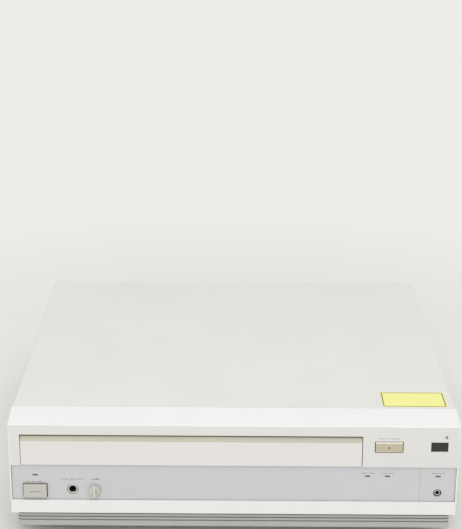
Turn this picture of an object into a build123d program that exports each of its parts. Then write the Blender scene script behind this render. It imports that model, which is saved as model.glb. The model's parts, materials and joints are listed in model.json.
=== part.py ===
"""Front-loading laser videodisc player, built as an assembly of separate pieces.

Millimetres, +Z up, +X to the right of someone facing the player, front towards -Y.
The model is drawn with y = 0 on the front face and z = 0 under the feet, and every
piece is then moved along Y by FRONT_Y, so that the origin ends up at the bottom
centre of the whole player.
"""
from math import acos, atan2, ceil, cos, degrees, pi, radians, sin, tan
import os

from build123d import *

# ---------------------------------------------------------------- disc and tray sizes
DISC_R = 150.0
SMALL_DISC_R = 100.0
DISC_CLEAR = 1.5
WELL_SIDE = 5.4  # tray left beside the large well
WELL_FRONT = 6.5  # tray left in front of the large well
TRAY_TAIL = 50.5  # tray left behind the large well, which stays in the rails
TRAY_SIDE = 3.7  # tray plate to door edge, each side
DOOR_DEPTH = 12.0

# ---------------------------------------------------------------- cabinet sizes
LEFT_MARGIN = 11.2  # bezel left of the door
CONTROL_SPACE = 91.6  # bezel right of the door
REAR_SPACE = 18.0  # tray to the back of the cover
COVER_INSET = 0.1  # the steel cover is this much narrower than the bezel, each side
FOOT_HEIGHT = 10.0
PLINTH_HEIGHT = 17.4  # grooved base below the bezel
BAND_HEIGHT = 13.9  # plain band under the control panel
PANEL_ZONE = 36.5  # recessed zone of the control panel
DOOR_ZONE = 31.8  # height of the tray opening
LINTEL_HEIGHT = 10.3  # above the tray opening
BROW_RISE = 3.4  # the bezel's top rises this much to meet the cover
BEZEL_DEPTH = 34.0
LIP = 5.0  # the bezel's lip under the cover's front edge
SHEET = 1.2  # steel sheet of the cover, deck, frames and back
MOULDED = 2.5  # moulded walls
GAP = 0.3  # running gap between pieces of different bodies
EDGE = 1.0  # rounding of the bezel's outer edges
PANEL_LIP = 1.6  # bezel left at each end of the control panel's recess

Z_BASE = FOOT_HEIGHT
Z_BAND = Z_BASE + PLINTH_HEIGHT
Z_PANEL = Z_BAND + BAND_HEIGHT
Z_DOOR = Z_PANEL + PANEL_ZONE
Z_LINTEL = Z_DOOR + DOOR_ZONE
Z_EDGE = Z_LINTEL + LINTEL_HEIGHT
Z_TOP = Z_EDGE + BROW_RISE

DOOR_WIDTH = 2 * (DISC_R + DISC_CLEAR + WELL_SIDE + TRAY_SIDE)
WIDTH = LEFT_MARGIN + DOOR_WIDTH + CONTROL_SPACE  # over the front bezel
HALF_W = WIDTH / 2
COVER_X = HALF_W - COVER_INSET
DOOR_X0 = -HALF_W + LEFT_MARGIN
DOOR_X1 = DOOR_X0 + DOOR_WIDTH
DISC_X = (DOOR_X0 + DOOR_X1) / 2
DISC_Y = DOOR_DEPTH + WELL_FRONT + DISC_CLEAR + DISC_R
TRAY_X0 = DOOR_X0 + TRAY_SIDE
TRAY_X1 = DOOR_X1 - TRAY_SIDE
TRAY_Y0 = DOOR_DEPTH
TRAY_Y1 = DISC_Y + DISC_R + DISC_CLEAR + TRAY_TAIL
BODY_DEPTH = TRAY_Y1 + REAR_SPACE  # front face to the back of the cover

# ---------------------------------------------------------------- plinth and pan
PLINTH_INSET_X = 5.0
PLINTH_INSET_Y = 6.0
PLINTH_CORNER = 4.0
GROOVE_PITCH = 3.45
GROOVE_HEIGHT = 1.3
GROOVE_DEPTH = 1.2
GROOVES = 3
GROOVE_TOP = 3.2  # top groove's centre, below the bezel
PAN_X = HALF_W - PLINTH_INSET_X
Z_FLOOR = Z_BASE + MOULDED
BACK_Y = BODY_DEPTH - SHEET  # back panel's rear face, inside the cover's flange
PAN_BACK = BACK_Y - SHEET
FLOOR_VENTS = 12
FLOOR_VENT_X = (DISC_X - 59.8, DISC_X + 100.2)
FLOOR_VENT_Y = (92.0, 132.0)
VENT_WIDTH = 3.2
VENT_PITCH = 8.0

FOOT_R = 16.0
FOOT_TAPER = 2.0
FOOT_X = HALF_W - 40.0
FOOT_Y = (48.0, BODY_DEPTH - 44.0)
FOOT_RECESS_R = 8.0
FOOT_WEB = 3.0  # rubber left under the screw head

# ---------------------------------------------------------------- tray opening
DOOR_GAP = 0.6  # each side of the door
DOOR_BOTTOM_GAP = 0.4
DOOR_BEVEL_H = 4.5
DOOR_BEVEL_D = 1.8
DOOR_HEIGHT = 29.4
DOOR_PLATE = 1.0  # metal face plate on the moulded front
DOOR_WALL = 2.5
TUNNEL_DEPTH = 15.0  # walls round the tray opening run this deep
Z_DOOR0 = Z_DOOR + DOOR_BOTTOM_GAP
Z_DOOR1 = Z_DOOR0 + DOOR_HEIGHT

# ---------------------------------------------------------------- front controls
PLATE_FRONT = 1.5  # face of the control plates, behind the bezel's face
PLATE_T = 2.0
FACE_WALL = PLATE_FRONT + PLATE_T  # the bezel's front wall, level with the plates' backs
PLATE_EDGE_GAP = 0.2
PLATE_SPLIT_X = HALF_W - 35.8
SPLIT_GAP = 0.5
BUTTON_GAP = 0.7  # round the power and eject buttons
STEM_GAP = 0.4  # a button's stem in its switch

POWER_X, POWER_Z = -HALF_W + 23.8, Z_PANEL + 9.7
POWER_W, POWER_H = 21.8, 13.6
POWER_PROUD = 3.0
POWER_TRAVEL = 3.0
EJECT_X, EJECT_Z = HALF_W - 66.4, Z_LINTEL - 10.8
EJECT_W, EJECT_H = 25.5, 10.2
EJECT_PROUD = 0.6
EJECT_BEVEL = 1.2  # sloping strip along the button's top
EJECT_DEPTH = 7.0
EJECT_TRAVEL = 1.5
IR_X, IR_Z = HALF_W - 19.0, Z_LINTEL - 10.5
IR_W, IR_H = 16.2, 9.8
IR_FRONT = 0.8
IR_LIP, IR_LIP_T = 2.0, 1.2  # the pane's edge, glued behind the bezel
LAMP_W, LAMP_H = 5.0, 1.6
LAMPS = (
    (-HALF_W + 24.2, Z_DOOR - 10.6),
    (HALF_W - 85.6, Z_DOOR - 10.1),
    (HALF_W - 66.6, Z_DOOR - 10.1),
    (HALF_W - 18.8, Z_DOOR - 10.0),
)
PHONE_X, PHONE_Z = -HALF_W + 59.2, Z_PANEL + 11.0
PHONE_HOLE_R = 3.3  # takes a 6.35 mm plug
PHONE_RING_R = 4.7
PHONE_RECESS_R = 5.5
PHONE_DEPTH = 20.0
KNOB_X, KNOB_Z = -HALF_W + 80.0, Z_PANEL + 10.3
KNOB_R = 5.0
KNOB_PROUD = 6.0
KNOB_BAR_W = 2.6
KNOB_SWING = 150.0
REMOTE_X, REMOTE_Z = HALF_W - 18.6, Z_PANEL + 9.0
REMOTE_HOLE_R = 1.85  # takes a 3.5 mm plug
REMOTE_RING_R = 2.9
REMOTE_RECESS_R = 4.0
REMOTE_DEPTH = 14.0
BOARD_Y = 30.0  # front control boards
FRONT_POST_R = 3.0
SWITCH_DEPTH = 5.0  # eject switch, in front of its board
POWER_CAP_BACK = 9.0
STEM_END = 20.0  # power button's stem and the knob's shaft end here
POWER_SWITCH_Y = 16.0
KNOB_SHAFT_R = 3.0
POT_Y = 12.0
POT_R = 7.5
PHONE_BODY = 14.0
REMOTE_BODY = 10.0
SOCKET_END = 3.0  # body behind a socket's bore
BOARD_T = 1.6
STEM = 4.0

# ---------------------------------------------------------------- mechanism levels
Z_DECK = 56.0
DECK_X1 = DOOR_X1 + 3.6
DECK_Y0 = 36.0
DECK_Y1 = BODY_DEPTH - 12.0
Z_DECK_TOP = Z_DECK + SHEET
FRAME_WEB_X = HALF_W - 9.0  # inner face of the side frames
FRAME_FLANGE = 7.0
BOSS_R = 5.0
SCREW_R = 1.5
HEAD_R = 3.0
HEAD_H = 1.8

# tray
Z_TRAY = 85.0
TRAY_T = 11.0
Z_RIM = Z_TRAY + TRAY_T
WELL_DEPTH = 5.0
SMALL_WELL_DEPTH = 7.0
SLOT_HALF = 42.0
TRAY_TRAVEL = 300.0
TONGUE = 2.0
TONGUE_Z0, TONGUE_Z1 = 88.0, 92.0
RAIL_GAP = 0.4
RAIL_END_X = TRAY_X1 + 5.6  # outer face of the right-hand rail
Z_RAIL_TOP = Z_RIM + 4.0

# tray drive
RACK_MODULE = 1.0
WHEEL_MODULE = 0.8
RACK_PITCH_X = TRAY_X1 - 11.7
RACK_H = 5.5
RACK_BACK = 6.0
RACK_Y0, RACK_Y1 = 30.0, TRAY_Y1 - 6.0
LOAD_TEETH = 24
LOAD_WHEEL_TEETH = 48
PULLEY_TEETH = 14
LOAD_Y = 44.0
LOAD_R = RACK_MODULE * LOAD_TEETH / 2
LOAD_X = RACK_PITCH_X - LOAD_R
LOAD_WHEEL_R = WHEEL_MODULE * LOAD_WHEEL_TEETH / 2
PULLEY_PINION_R = WHEEL_MODULE * PULLEY_TEETH / 2
PULLEY_X = LOAD_X - LOAD_WHEEL_R - PULLEY_PINION_R
PULLEY_R = 14.0
MOTOR_PULLEY_R = 4.0
MOTOR_X = PULLEY_X - 38.2  # belt length sets it
BELT_T = 1.2
BELT_H = 3.0
PIN_R = 2.0
PIN_CLEAR = 0.05
GEAR_T = 4.6
BACKLASH = 0.16
ADDENDUM = 0.8
DEDENDUM = 1.05
PRESSURE = radians(20.0)

# traverse unit
LIFT = 14.0
CAM_TRAVEL = 20.0
TRV_X0, TRV_X1 = DISC_X - 74.8, DISC_X + 88.2
TRV_Y0, TRV_Y1 = DISC_Y - 45.0, DISC_Y + 190.0
Z_TRV = 58.5
TRV_T = 3.0
Z_TRV_TOP = Z_TRV + TRV_T
TRV_WALL = 3.0
TRV_WALL_H = 8.5
POST_R = 3.0
POST_X = (TRV_X0 + 11.0, TRV_X1 - 8.0)
POST_Y = (TRV_Y0 + 12.0, TRV_Y1 - 9.0)
POST_TOP = 80.0
POST_BUSH_R = 5.5
POST_BUSH_H = 10.0
ROD_R = 3.0
ROD_SPREAD = 44.0
Z_ROD = 64.0
ROD_Y0, ROD_Y1 = DISC_Y + 42.0, TRV_Y1 - 4.0
ROD_BLOCK = 5.0
BUSH_R = 5.4
SPINDLE_CAN_R = 30.0
SPINDLE_CAN_Z0 = 36.0
SPINDLE_R = 2.5
TABLE_R = 38.0
Z_TABLE = 80.0  # turntable surface, unit lowered
TABLE_T = 6.0
MAT_T = 0.8
CONE_R = 17.3
CONE_H = 6.0
SLED_Y0, SLED_Y1 = ROD_Y0 + 7.0, ROD_Y0 + 46.0
SLED_HALF = 34.0
Z_SLED0, Z_SLED1 = 60.0, 74.0
SLED_TRAVEL = 88.0
LENS_Y = SLED_Y0 + 10.0
LENS_R = 4.0
Z_LENS_TOP = 78.5
LENS_TRAVEL = 0.8
SLED_RACK_X = DISC_X + 57.2
SLED_TEETH = 24
SLED_WHEEL_TEETH = 40
SLED_PINION_TEETH = 14
SLED_GEAR_Y = SLED_Y0 + 65.0
SLED_R = WHEEL_MODULE * SLED_TEETH / 2
SLED_GEAR_X = SLED_RACK_X + SLED_R
SLED_WHEEL_R = WHEEL_MODULE * SLED_WHEEL_TEETH / 2
SLED_PINION_R = WHEEL_MODULE * SLED_PINION_TEETH / 2
SLED_PINION_Y = SLED_GEAR_Y - SLED_WHEEL_R - SLED_PINION_R
SLED_WHEEL_T = 2.4
Z_SLED_RACK = 64.8
SLED_RACK_H = 4.2

# lift cams and their shaft
CAM_T = 2.0
CAM_OFF = 1.2  # cam plate to traverse wall
CAM_FLANGE = 10.8
CAM_Y0, CAM_Y1 = TRV_Y0 - 25.0, TRV_Y1 - 2.0
Z_CAM0 = Z_DECK_TOP + GAP
Z_CAM1 = 82.5
CAM_PIN_R = 2.5
CAM_PIN_Z = 63.0
CAM_PIN_Y = (TRV_Y0 + 25.0, TRV_Y1 - 30.0)
CAM_SLOT_CLEAR = 0.3
CAM_RACK_W = 5.5
STUD_Y = (TRV_Y0 + 80.0, TRV_Y1 - 70.0)
STUD_R = 2.5
LIFT_TEETH = 16
LIFT_R = WHEEL_MODULE * LIFT_TEETH / 2
SHAFT_Y = CAM_Y0 + 12.0
SHAFT_Z = 48.0
SHAFT_R = 2.5
FINE_MODULE = 0.6
LIFT_GEAR_TEETH = 24
LIFT_PINION_TEETH = 14
LIFT_GEAR_R = FINE_MODULE * LIFT_GEAR_TEETH / 2
LIFT_PINION_R = FINE_MODULE * LIFT_PINION_TEETH / 2
LIFT_PINION_Y = SHAFT_Y + LIFT_GEAR_R + LIFT_PINION_R
LIFT_GEAR_X = TRV_X1 + 16.0
SMALL_MOTOR_R = 12.0

# clamp
ARM_Z = 108.0
ARM_PIVOT_Y = DISC_Y + 80.0
ARM_PIVOT_Z = 109.0
ARM_PIVOT_R = 2.0
ARM_HALF = 34.0
ARM_T = 2.0
CLAMP_DROP = 2.5
CLAMP_R = 36.0
CLAMP_NECK_R = 22.0
CLAMP_FLANGE_R = 28.0
CLAMP_RECESS_R = 19.5
Z_CLAMP = 98.5
CLAMP_T = 6.0
BRIDGE_Y0, BRIDGE_Y1 = ARM_PIVOT_Y - 14.0, ARM_PIVOT_Y + 14.0

# back panel
INLET_X, INLET_Z = HALF_W - 52.0, 50.0
INLET_W, INLET_H = 27.6, 20.2  # cavity of the mains inlet
INLET_DEPTH = 16.0
INLET_WALL = 1.8
INLET_FLANGE_W, INLET_FLANGE_H = 50.0, 26.0
VIDEO_X = (HALF_W - 160.0, HALF_W - 132.0)
AUDIO_X = (HALF_W - 216.0, HALF_W - 196.0)
SOCKET_Z = 42.0
PHONO_PIN_R = 1.6
PHONO_DEPTH = 7.4
SERIAL_X = HALF_W - 272.0
REAR_VENTS = 14
REAR_VENT_X = -HALF_W + 28.0
REAR_VENT_ROWS = (62.0, 84.0)
REAR_VENT_H = 14.0
CONNECTOR_PROUD = 9.0

# electronics
MAIN_BOARD = (DISC_X - 63.8, DISC_X + 140.2, 150.0, BODY_DEPTH - 22.0, 20.0)
POWER_BOARD = (HALF_W - 82.0, HALF_W - 14.0, 70.0, BODY_DEPTH - 140.0, 24.0)
TRANSFORMER = (HALF_W - 78.0, HALF_W - 18.0, BODY_DEPTH - 128.0, BODY_DEPTH - 55.0)
TRANSFORMER_H = 58.0

KNOB_FRONT = PLATE_FRONT - KNOB_PROUD  # foremost point of the player
FRONT_Y = -(BODY_DEPTH + CONNECTOR_PROUD + KNOB_FRONT) / 2

PARTS = {}


# ---------------------------------------------------------------- small helpers
def block(x0, x1, y0, y1, z0, z1):
    """A box between two corners."""
    centre = Pos((x0 + x1) / 2, (y0 + y1) / 2, (z0 + z1) / 2)
    return centre * Box(x1 - x0, y1 - y0, z1 - z0)


def post(x, y, z0, z1, r, r_top=None):
    """A round post along Z, tapering to r_top if that is given."""
    centre = Pos(x, y, (z0 + z1) / 2)
    if r_top is None:
        return centre * Cylinder(r, z1 - z0)
    return centre * Cone(r, r_top, z1 - z0)


def rod_y(x, z, y0, y1, r):
    """A round rod along Y."""
    return Pos(x, (y0 + y1) / 2, z) * Rot(90, 0, 0) * Cylinder(r, y1 - y0)


def bar_y(x, z, y0, y1, w, h):
    """A bar along Y, w wide and h high, centred on (x, z)."""
    return block(x - w / 2, x + w / 2, y0, y1, z - h / 2, z + h / 2)


def rod_x(y, z, x0, x1, r):
    """A round rod along X."""
    return Pos((x0 + x1) / 2, y, z) * Rot(0, 90, 0) * Cylinder(r, x1 - x0)


def slot_y(x, y0, y1, z0, z1, r):
    """A long hole along Y with round ends, cut through from z0 to z1."""
    return (
        block(x - r, x + r, y0, y1, z0, z1)
        + post(x, y0, z0, z1, r)
        + post(x, y1, z0, z1, r)
    )


def outline(points):
    """A flat face in the XY plane from a closed run of points."""
    return make_face(Polyline(*points, close=True))


def profile_x(points, x0, x1):
    """A solid whose section is given as (y, z) points, from x0 to x1."""
    face = make_face(Polyline(*[(0, y, z) for y, z in points], close=True))
    return Pos(x0, 0, 0) * extrude(face, amount=x1 - x0, dir=(1, 0, 0))


def involute(angle):
    return tan(angle) - angle


def tooth_points(module, teeth):
    """One tooth of a spur gear centred on angle 0, as (radius, angle) pairs."""
    pitch_r = module * teeth / 2
    base_r = pitch_r * cos(PRESSURE)
    tip_r = pitch_r + ADDENDUM * module
    root_r = pitch_r - DEDENDUM * module
    half = pi / (2 * teeth) - BACKLASH / (4 * pitch_r)
    start = max(base_r, root_r)
    steps = 4
    flank = []
    for i in range(steps + 1):
        r = start + (tip_r - start) * i / steps
        flank.append((r, half + involute(PRESSURE) - involute(acos(min(1.0, base_r / r)))))
    low = [(root_r, flank[0][1])] if root_r < start else []
    side = low + flank
    return [(r, -a) for r, a in side] + [(r, a) for r, a in reversed(side)]


def gear(module, teeth, thickness, bore_r, phase=0.0):
    """A spur gear on Z from z = 0, with a tooth centred phase degrees from +X."""
    tooth = tooth_points(module, teeth)
    points = []
    for k in range(teeth):
        turn = radians(phase) + 2 * pi * k / teeth
        points += [(r * cos(a + turn), r * sin(a + turn)) for r, a in tooth]
    body = extrude(outline(points), amount=thickness)
    return body - post(0, 0, -1, thickness + 1, bore_r)


def rack(module, length_from, length_to, gap_at, height, back):
    """A straight rack along Y with its teeth towards -X, pitch line on x = 0, z from 0.

    A gap between two teeth is centred on y = gap_at."""
    pitch = pi * module
    half_pitch_line = pitch / 4 - BACKLASH / 4
    tip_x, root_x = -ADDENDUM * module, DEDENDUM * module
    tip_half = half_pitch_line - ADDENDUM * module * tan(PRESSURE)
    root_half = half_pitch_line + DEDENDUM * module * tan(PRESSURE)
    first = ceil((length_from + root_half - gap_at) / pitch - 0.5)
    points = [(root_x + back, length_from), (root_x, length_from)]
    k = first
    while gap_at + (k + 0.5) * pitch + root_half < length_to:
        y = gap_at + (k + 0.5) * pitch
        points += [
            (root_x, y - root_half),
            (tip_x, y - tip_half),
            (tip_x, y + tip_half),
            (root_x, y + root_half),
        ]
        k += 1
    points += [(root_x, length_to), (root_x + back, length_to)]
    return extrude(outline(points), amount=height)


def mesh_phase(teeth, direction):
    """Phase in degrees that puts a gap of a gear at an angle, for its mate's tooth."""
    return direction + 180.0 / teeth


def pan_screw(x, y, z, length, up=True):
    """A pan-head screw along Z; its head sits on z, above it or below it."""
    if up:
        return post(x, y, z, z + HEAD_H, HEAD_R) + post(x, y, z - length, z, SCREW_R)
    return post(x, y, z - HEAD_H, z, HEAD_R) + post(x, y, z, z + length, SCREW_R)


def keep(name, shape):
    """Files one finished piece under its node name, moved into the player's frame."""
    solids = [Pos(0, FRONT_Y, 0) * solid for solid in shape.solids()]
    PARTS[name] = solids[0] if len(solids) == 1 else Compound(solids)


def many(shapes):
    """Several separate solids as one node."""
    return Compound([solid for shape in shapes for solid in shape.solids()])


# ---------------------------------------------------------------- cabinet
DECK_BOSSES = [
    (x, y)
    for x in (-FRAME_WEB_X + 15.0, DECK_X1 - 14.0)
    for y in (DECK_Y0 + 16.0, (DECK_Y0 + DECK_Y1) / 2 + 3.0, DECK_Y1 - 12.0)
]
BOARD_BOSS_R = 3.5


def board_bosses(board, inset=6.0):
    """Corner positions of a board's screws, and the board's underside height."""
    x0, x1, y0, y1, z = board
    return [(x, y, z) for x in (x0 + inset, x1 - inset) for y in (y0 + inset, y1 - inset)]


def bottom_pan():
    """Moulded base tub with a grooved skirt, floor vents and screw bosses."""
    x, y0, y1 = PAN_X, PLINTH_INSET_Y, PAN_BACK
    tub = block(-x, x, y0, y1, Z_BASE, Z_BAND)
    tub = fillet(tub.edges().filter_by(Axis.Z), PLINTH_CORNER)
    tub = fillet(tub.faces().sort_by(Axis.Z)[0].edges(), 2.0)
    w = MOULDED
    cavity = block(-x + w, x - w, y0 + w, y1 - w, Z_FLOOR, Z_BAND + 1)
    tub -= fillet(cavity.edges().filter_by(Axis.Z), PLINTH_CORNER - w / 2)
    for i in range(GROOVES):
        z = Z_BAND - GROOVE_TOP - i * GROOVE_PITCH
        low, high = z - GROOVE_HEIGHT / 2, z + GROOVE_HEIGHT / 2
        ring = block(-x - 1, x + 1, y0 - 1, y1 + 1, low, high)
        d = GROOVE_DEPTH
        core = block(-x + d, x - d, y0 + d, y1 - d, low - 1, high + 1)
        core = fillet(core.edges().filter_by(Axis.Z), PLINTH_CORNER - d / 2)
        tub -= ring - core
    for cx in FLOOR_VENT_X:
        for i in range(FLOOR_VENTS):
            vx = cx + (i - (FLOOR_VENTS - 1) / 2) * VENT_PITCH
            tub -= slot_y(vx, *FLOOR_VENT_Y, Z_BASE - 1, Z_FLOOR + 1, VENT_WIDTH / 2)
    for bx, by in DECK_BOSSES:
        tub += post(bx, by, Z_FLOOR - 0.5, Z_DECK, BOSS_R)
        tub -= post(bx, by, Z_DECK - 12, Z_DECK + 1, SCREW_R)
    for board in (MAIN_BOARD, POWER_BOARD):
        for bx, by, bz in board_bosses(board):
            tub += post(bx, by, Z_FLOOR - 0.5, bz, BOARD_BOSS_R)
            tub -= post(bx, by, bz - 6, bz + 1, SCREW_R)
    for fx in (-FOOT_X, FOOT_X):
        for fy in FOOT_Y:
            tub += post(fx, fy, Z_FLOOR - 0.5, Z_FLOOR + 6, BOSS_R)
            tub -= post(fx, fy, Z_BASE - 1, Z_FLOOR + 5, SCREW_R)
    return tub


def rubber_feet():
    """Four turned-down rubber feet, each with a recess for its screw."""
    feet = []
    for fx in (-FOOT_X, FOOT_X):
        for fy in FOOT_Y:
            foot = post(fx, fy, 0, Z_BASE, FOOT_R - FOOT_TAPER, FOOT_R)
            foot -= post(fx, fy, -1, Z_BASE - FOOT_WEB, FOOT_RECESS_R)
            foot -= post(fx, fy, 0, Z_BASE + 1, SCREW_R)
            feet.append(foot)
    return many(feet)


def front_bezel():
    """Hollow front moulding with the tray opening and its tunnel."""
    section = [(0, Z_BAND), (0, Z_EDGE), (BEZEL_DEPTH, Z_TOP), (BEZEL_DEPTH, Z_BAND)]
    outer = profile_x(section, -HALF_W, HALF_W)
    outer = fillet(outer.faces().sort_by(Axis.Y)[0].edges(), EDGE)
    recess_x = HALF_W - PANEL_LIP
    outer -= block(-recess_x, recess_x, -1, FACE_WALL, Z_PANEL, Z_DOOR)
    w = MOULDED
    back = FACE_WALL + w
    slope = BROW_RISE / BEZEL_DEPTH
    inner = profile_x(
        [
            (FACE_WALL, Z_BAND + w),
            (FACE_WALL, Z_PANEL - w),
            (back, Z_PANEL - w),
            (back, Z_DOOR + w),
            (FACE_WALL, Z_DOOR + w),
            (FACE_WALL, Z_EDGE - w + slope * FACE_WALL),
            (BEZEL_DEPTH + 1, Z_TOP - w + slope),
            (BEZEL_DEPTH + 1, Z_BAND + w),
        ],
        -HALF_W + w,
        HALF_W - w,
    )
    shell = outer - inner
    # lip that the cover's front edge rests on
    lip_top = Z_TOP - SHEET
    lip_x = COVER_X - 6
    lip = block(-lip_x, lip_x, BEZEL_DEPTH - 4, BEZEL_DEPTH + LIP, lip_top - 2, lip_top)
    shell += lip
    # tunnel round the tray opening
    x0, x1 = DOOR_X0 - DOOR_GAP, DOOR_X1 + DOOR_GAP
    t = 2.0
    tunnel = block(x0 - t, x1 + t, FACE_WALL, TUNNEL_DEPTH, Z_DOOR - t, Z_LINTEL + t)
    shell += tunnel
    shell -= block(x0, x1, -1, TUNNEL_DEPTH + 1, Z_DOOR, Z_LINTEL)
    # ribs that the side frames are screwed to
    rib_in = FRAME_WEB_X - 3.8
    for side in (-1, 1):
        a, b = sorted((side * rib_in, side * FRAME_WEB_X))
        rib = block(a, b, TUNNEL_DEPTH + 1.5, BEZEL_DEPTH, Z_BAND + w - 0.5, Z_TOP - 4)
        shell += rib
    # openings for the controls
    shell -= control_cuts(-1, back + 1, grow=0.0)
    g = BUTTON_GAP
    shell -= bar_y(EJECT_X, EJECT_Z, -1, FACE_WALL + 1, EJECT_W + 2 * g, EJECT_H + 2 * g)
    shell -= bar_y(IR_X, IR_Z, -1, FACE_WALL + 1, IR_W, IR_H)
    # posts that carry the control boards
    for bx, bz in BOARD_POSTS:
        start = FACE_WALL if bz > Z_DOOR else back
        shell += rod_y(bx, bz, start - 0.5, BOARD_Y, FRONT_POST_R)
        shell -= rod_y(bx, bz, BOARD_Y - 8, BOARD_Y + 1, SCREW_R)
    return shell


BOARD_POSTS = (
    (-HALF_W + 18.0, Z_DOOR - 5.8),
    (-HALF_W + 97.0, Z_PANEL + 3.6),
    (HALF_W - 84.0, Z_DOOR + 8.2),
    (HALF_W - 16.5, Z_DOOR + 6.2),
)


def control_cuts(y0, y1, grow):
    """Holes for the power button, sockets, knob shaft and lamps, from y0 to y1."""
    g = BUTTON_GAP + grow
    cuts = bar_y(POWER_X, POWER_Z, y0, y1, POWER_W + 2 * g, POWER_H + 2 * g)
    cuts += rod_y(PHONE_X, PHONE_Z, y0, y1, PHONE_RECESS_R + grow)
    cuts += rod_y(KNOB_X, KNOB_Z, y0, y1, STEM)
    cuts += rod_y(REMOTE_X, REMOTE_Z, y0, y1, REMOTE_RECESS_R + grow)
    for lx, lz in LAMPS:
        cuts += bar_y(lx, lz, y0, y1, LAMP_W, LAMP_H)
    return cuts


def face_plate(x0, x1):
    """One of the two grey plates in the control zone, with its holes."""
    e = PLATE_EDGE_GAP
    plate = block(x0, x1, PLATE_FRONT, PLATE_FRONT + PLATE_T, Z_PANEL + e, Z_DOOR - e)
    plate = chamfer(plate.faces().sort_by(Axis.Y)[0].edges(), 0.3)
    return plate - control_cuts(PLATE_FRONT - 1, PLATE_FRONT + PLATE_T + 1, grow=0.0)


def top_cover():
    """Folded steel cover: top, two sides with vents, and a back flange."""
    y0, y1 = BEZEL_DEPTH + GAP, BODY_DEPTH
    bend = 2.4
    outer = block(-COVER_X, COVER_X, y0, y1, Z_BAND, Z_TOP)
    outer = fillet(
        [e for e in outer.edges().filter_by(Axis.Y) if e.center().Z > Z_TOP - 1], bend
    )
    inner = block(
        -COVER_X + SHEET, COVER_X - SHEET, y0 - 1, y1 - SHEET, Z_BAND - 1, Z_TOP - SHEET
    )
    inner = fillet(
        [e for e in inner.edges().filter_by(Axis.Y) if e.center().Z > Z_TOP - 3], bend - SHEET
    )
    cover = outer - inner
    # the back is open below the flange
    cover -= block(
        -COVER_X + SHEET, COVER_X - SHEET, y1 - SHEET - 1, y1 + 1, Z_BAND - 1, Z_TOP - 14.0
    )
    # bottom edges turn in against the pan
    for side in (-1, 1):
        a, b = sorted((side * PAN_X, side * (COVER_X - SHEET / 2)))
        cover += block(a, b, y0, PAN_BACK, Z_BAND, Z_BAND + SHEET)
    # side vents
    for i in range(SIDE_VENTS):
        vy = SIDE_VENT_Y + i * SIDE_VENT_PITCH
        hole = block(-WIDTH, WIDTH, vy - 1.5, vy + 1.5, SIDE_VENT_Z, SIDE_VENT_Z + SIDE_VENT_H)
        hole += rod_x(vy, SIDE_VENT_Z, -WIDTH, WIDTH, 1.5)
        hole += rod_x(vy, SIDE_VENT_Z + SIDE_VENT_H, -WIDTH, WIDTH, 1.5)
        cover -= hole
    for y, z in COVER_SIDE_SCREWS:
        cover -= rod_x(y, z, -WIDTH, WIDTH, SCREW_R)
        for side in (-1, 1):
            cover -= countersink(side, y, z)
    for x in COVER_BACK_SCREWS:
        cover -= rod_y(x, BACK_SCREW_Z, y1 - SHEET - 0.5, y1 + 1, SCREW_R)
    return cover


SIDE_VENTS = 16
SIDE_VENT_Y = BODY_DEPTH - 180.0
SIDE_VENT_PITCH = 8.0
SIDE_VENT_Z = 52.0
SIDE_VENT_H = 34.0
COVER_SIDE_SCREWS = ((BEZEL_DEPTH + 36.0, Z_BAND + 12.6), (BODY_DEPTH - 38.0, Z_BAND + 12.6))
COVER_BACK_SCREWS = (-HALF_W + 32.0, 0.0, HALF_W - 32.0)
BACK_SCREW_Z = Z_TOP - 8.0
SINK_R = 3.2


def countersink(side, y, z):
    """The cone that a flush screw head fills, in the cover's side."""
    turn = 90 if side > 0 else -90
    head = Cone(SCREW_R, SINK_R, SHEET)
    return Pos(side * (COVER_X - SHEET / 2), y, z) * Rot(0, turn, 0) * head


def cover_screws():
    """Flush screws in the cover's sides and pan-head screws in its back flange."""
    screws = []
    for side in (-1, 1):
        for y, z in COVER_SIDE_SCREWS:
            a, b = sorted((side * (FRAME_WEB_X + 0.2), side * (COVER_X - SHEET)))
            screws.append(countersink(side, y, z) + rod_x(y, z, a, b, SCREW_R - PIN_CLEAR))
    for x in COVER_BACK_SCREWS:
        shank = rod_y(x, BACK_SCREW_Z, BACK_Y - SHEET - 4, BODY_DEPTH, SCREW_R - PIN_CLEAR)
        screws.append(shank + rod_y(x, BACK_SCREW_Z, BODY_DEPTH, BODY_DEPTH + HEAD_H, HEAD_R))
    return many(screws)


def side_frame(side):
    """Folded steel side frame: web, foot flange, cover ledge and screw bosses."""
    web0, web1 = FRAME_WEB_X, FRAME_WEB_X + SHEET
    y0, y1 = TUNNEL_DEPTH + 3, PAN_BACK
    lip_y = BEZEL_DEPTH + LIP + GAP
    low_top = Z_EDGE - MOULDED - GAP
    parts = block(web0, web1, y0, lip_y + 1, Z_BAND + MOULDED, low_top)
    parts += block(web0, web1, lip_y, y1, Z_BAND + MOULDED, Z_TOP - SHEET)
    skirt_y0, skirt_y1 = BEZEL_DEPTH + 2, y1 - 2 * MOULDED
    parts += block(web0, web1, skirt_y0, skirt_y1, Z_FLOOR, Z_BAND + MOULDED + 1)
    ledge_x = COVER_X - SHEET - 1.5
    parts += block(web0, ledge_x, lip_y, y1, Z_TOP - 2 * SHEET, Z_TOP - SHEET)
    parts += block(web0 - FRAME_FLANGE, web1, skirt_y0, skirt_y1, Z_FLOOR, Z_FLOOR + SHEET)
    for fy in FOOT_Y:
        x = FOOT_X
        parts -= post(x, fy, Z_FLOOR - 1, Z_FLOOR + 8, BOSS_R + 1)
    for y, z in COVER_SIDE_SCREWS:
        parts += rod_x(y, z, web1 - 0.5, COVER_X - SHEET, 3.5)
        parts -= rod_x(y, z, web0 - 1, COVER_X, SCREW_R)
    shape = parts
    return shape if side > 0 else mirror(shape, Plane.YZ)


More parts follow.
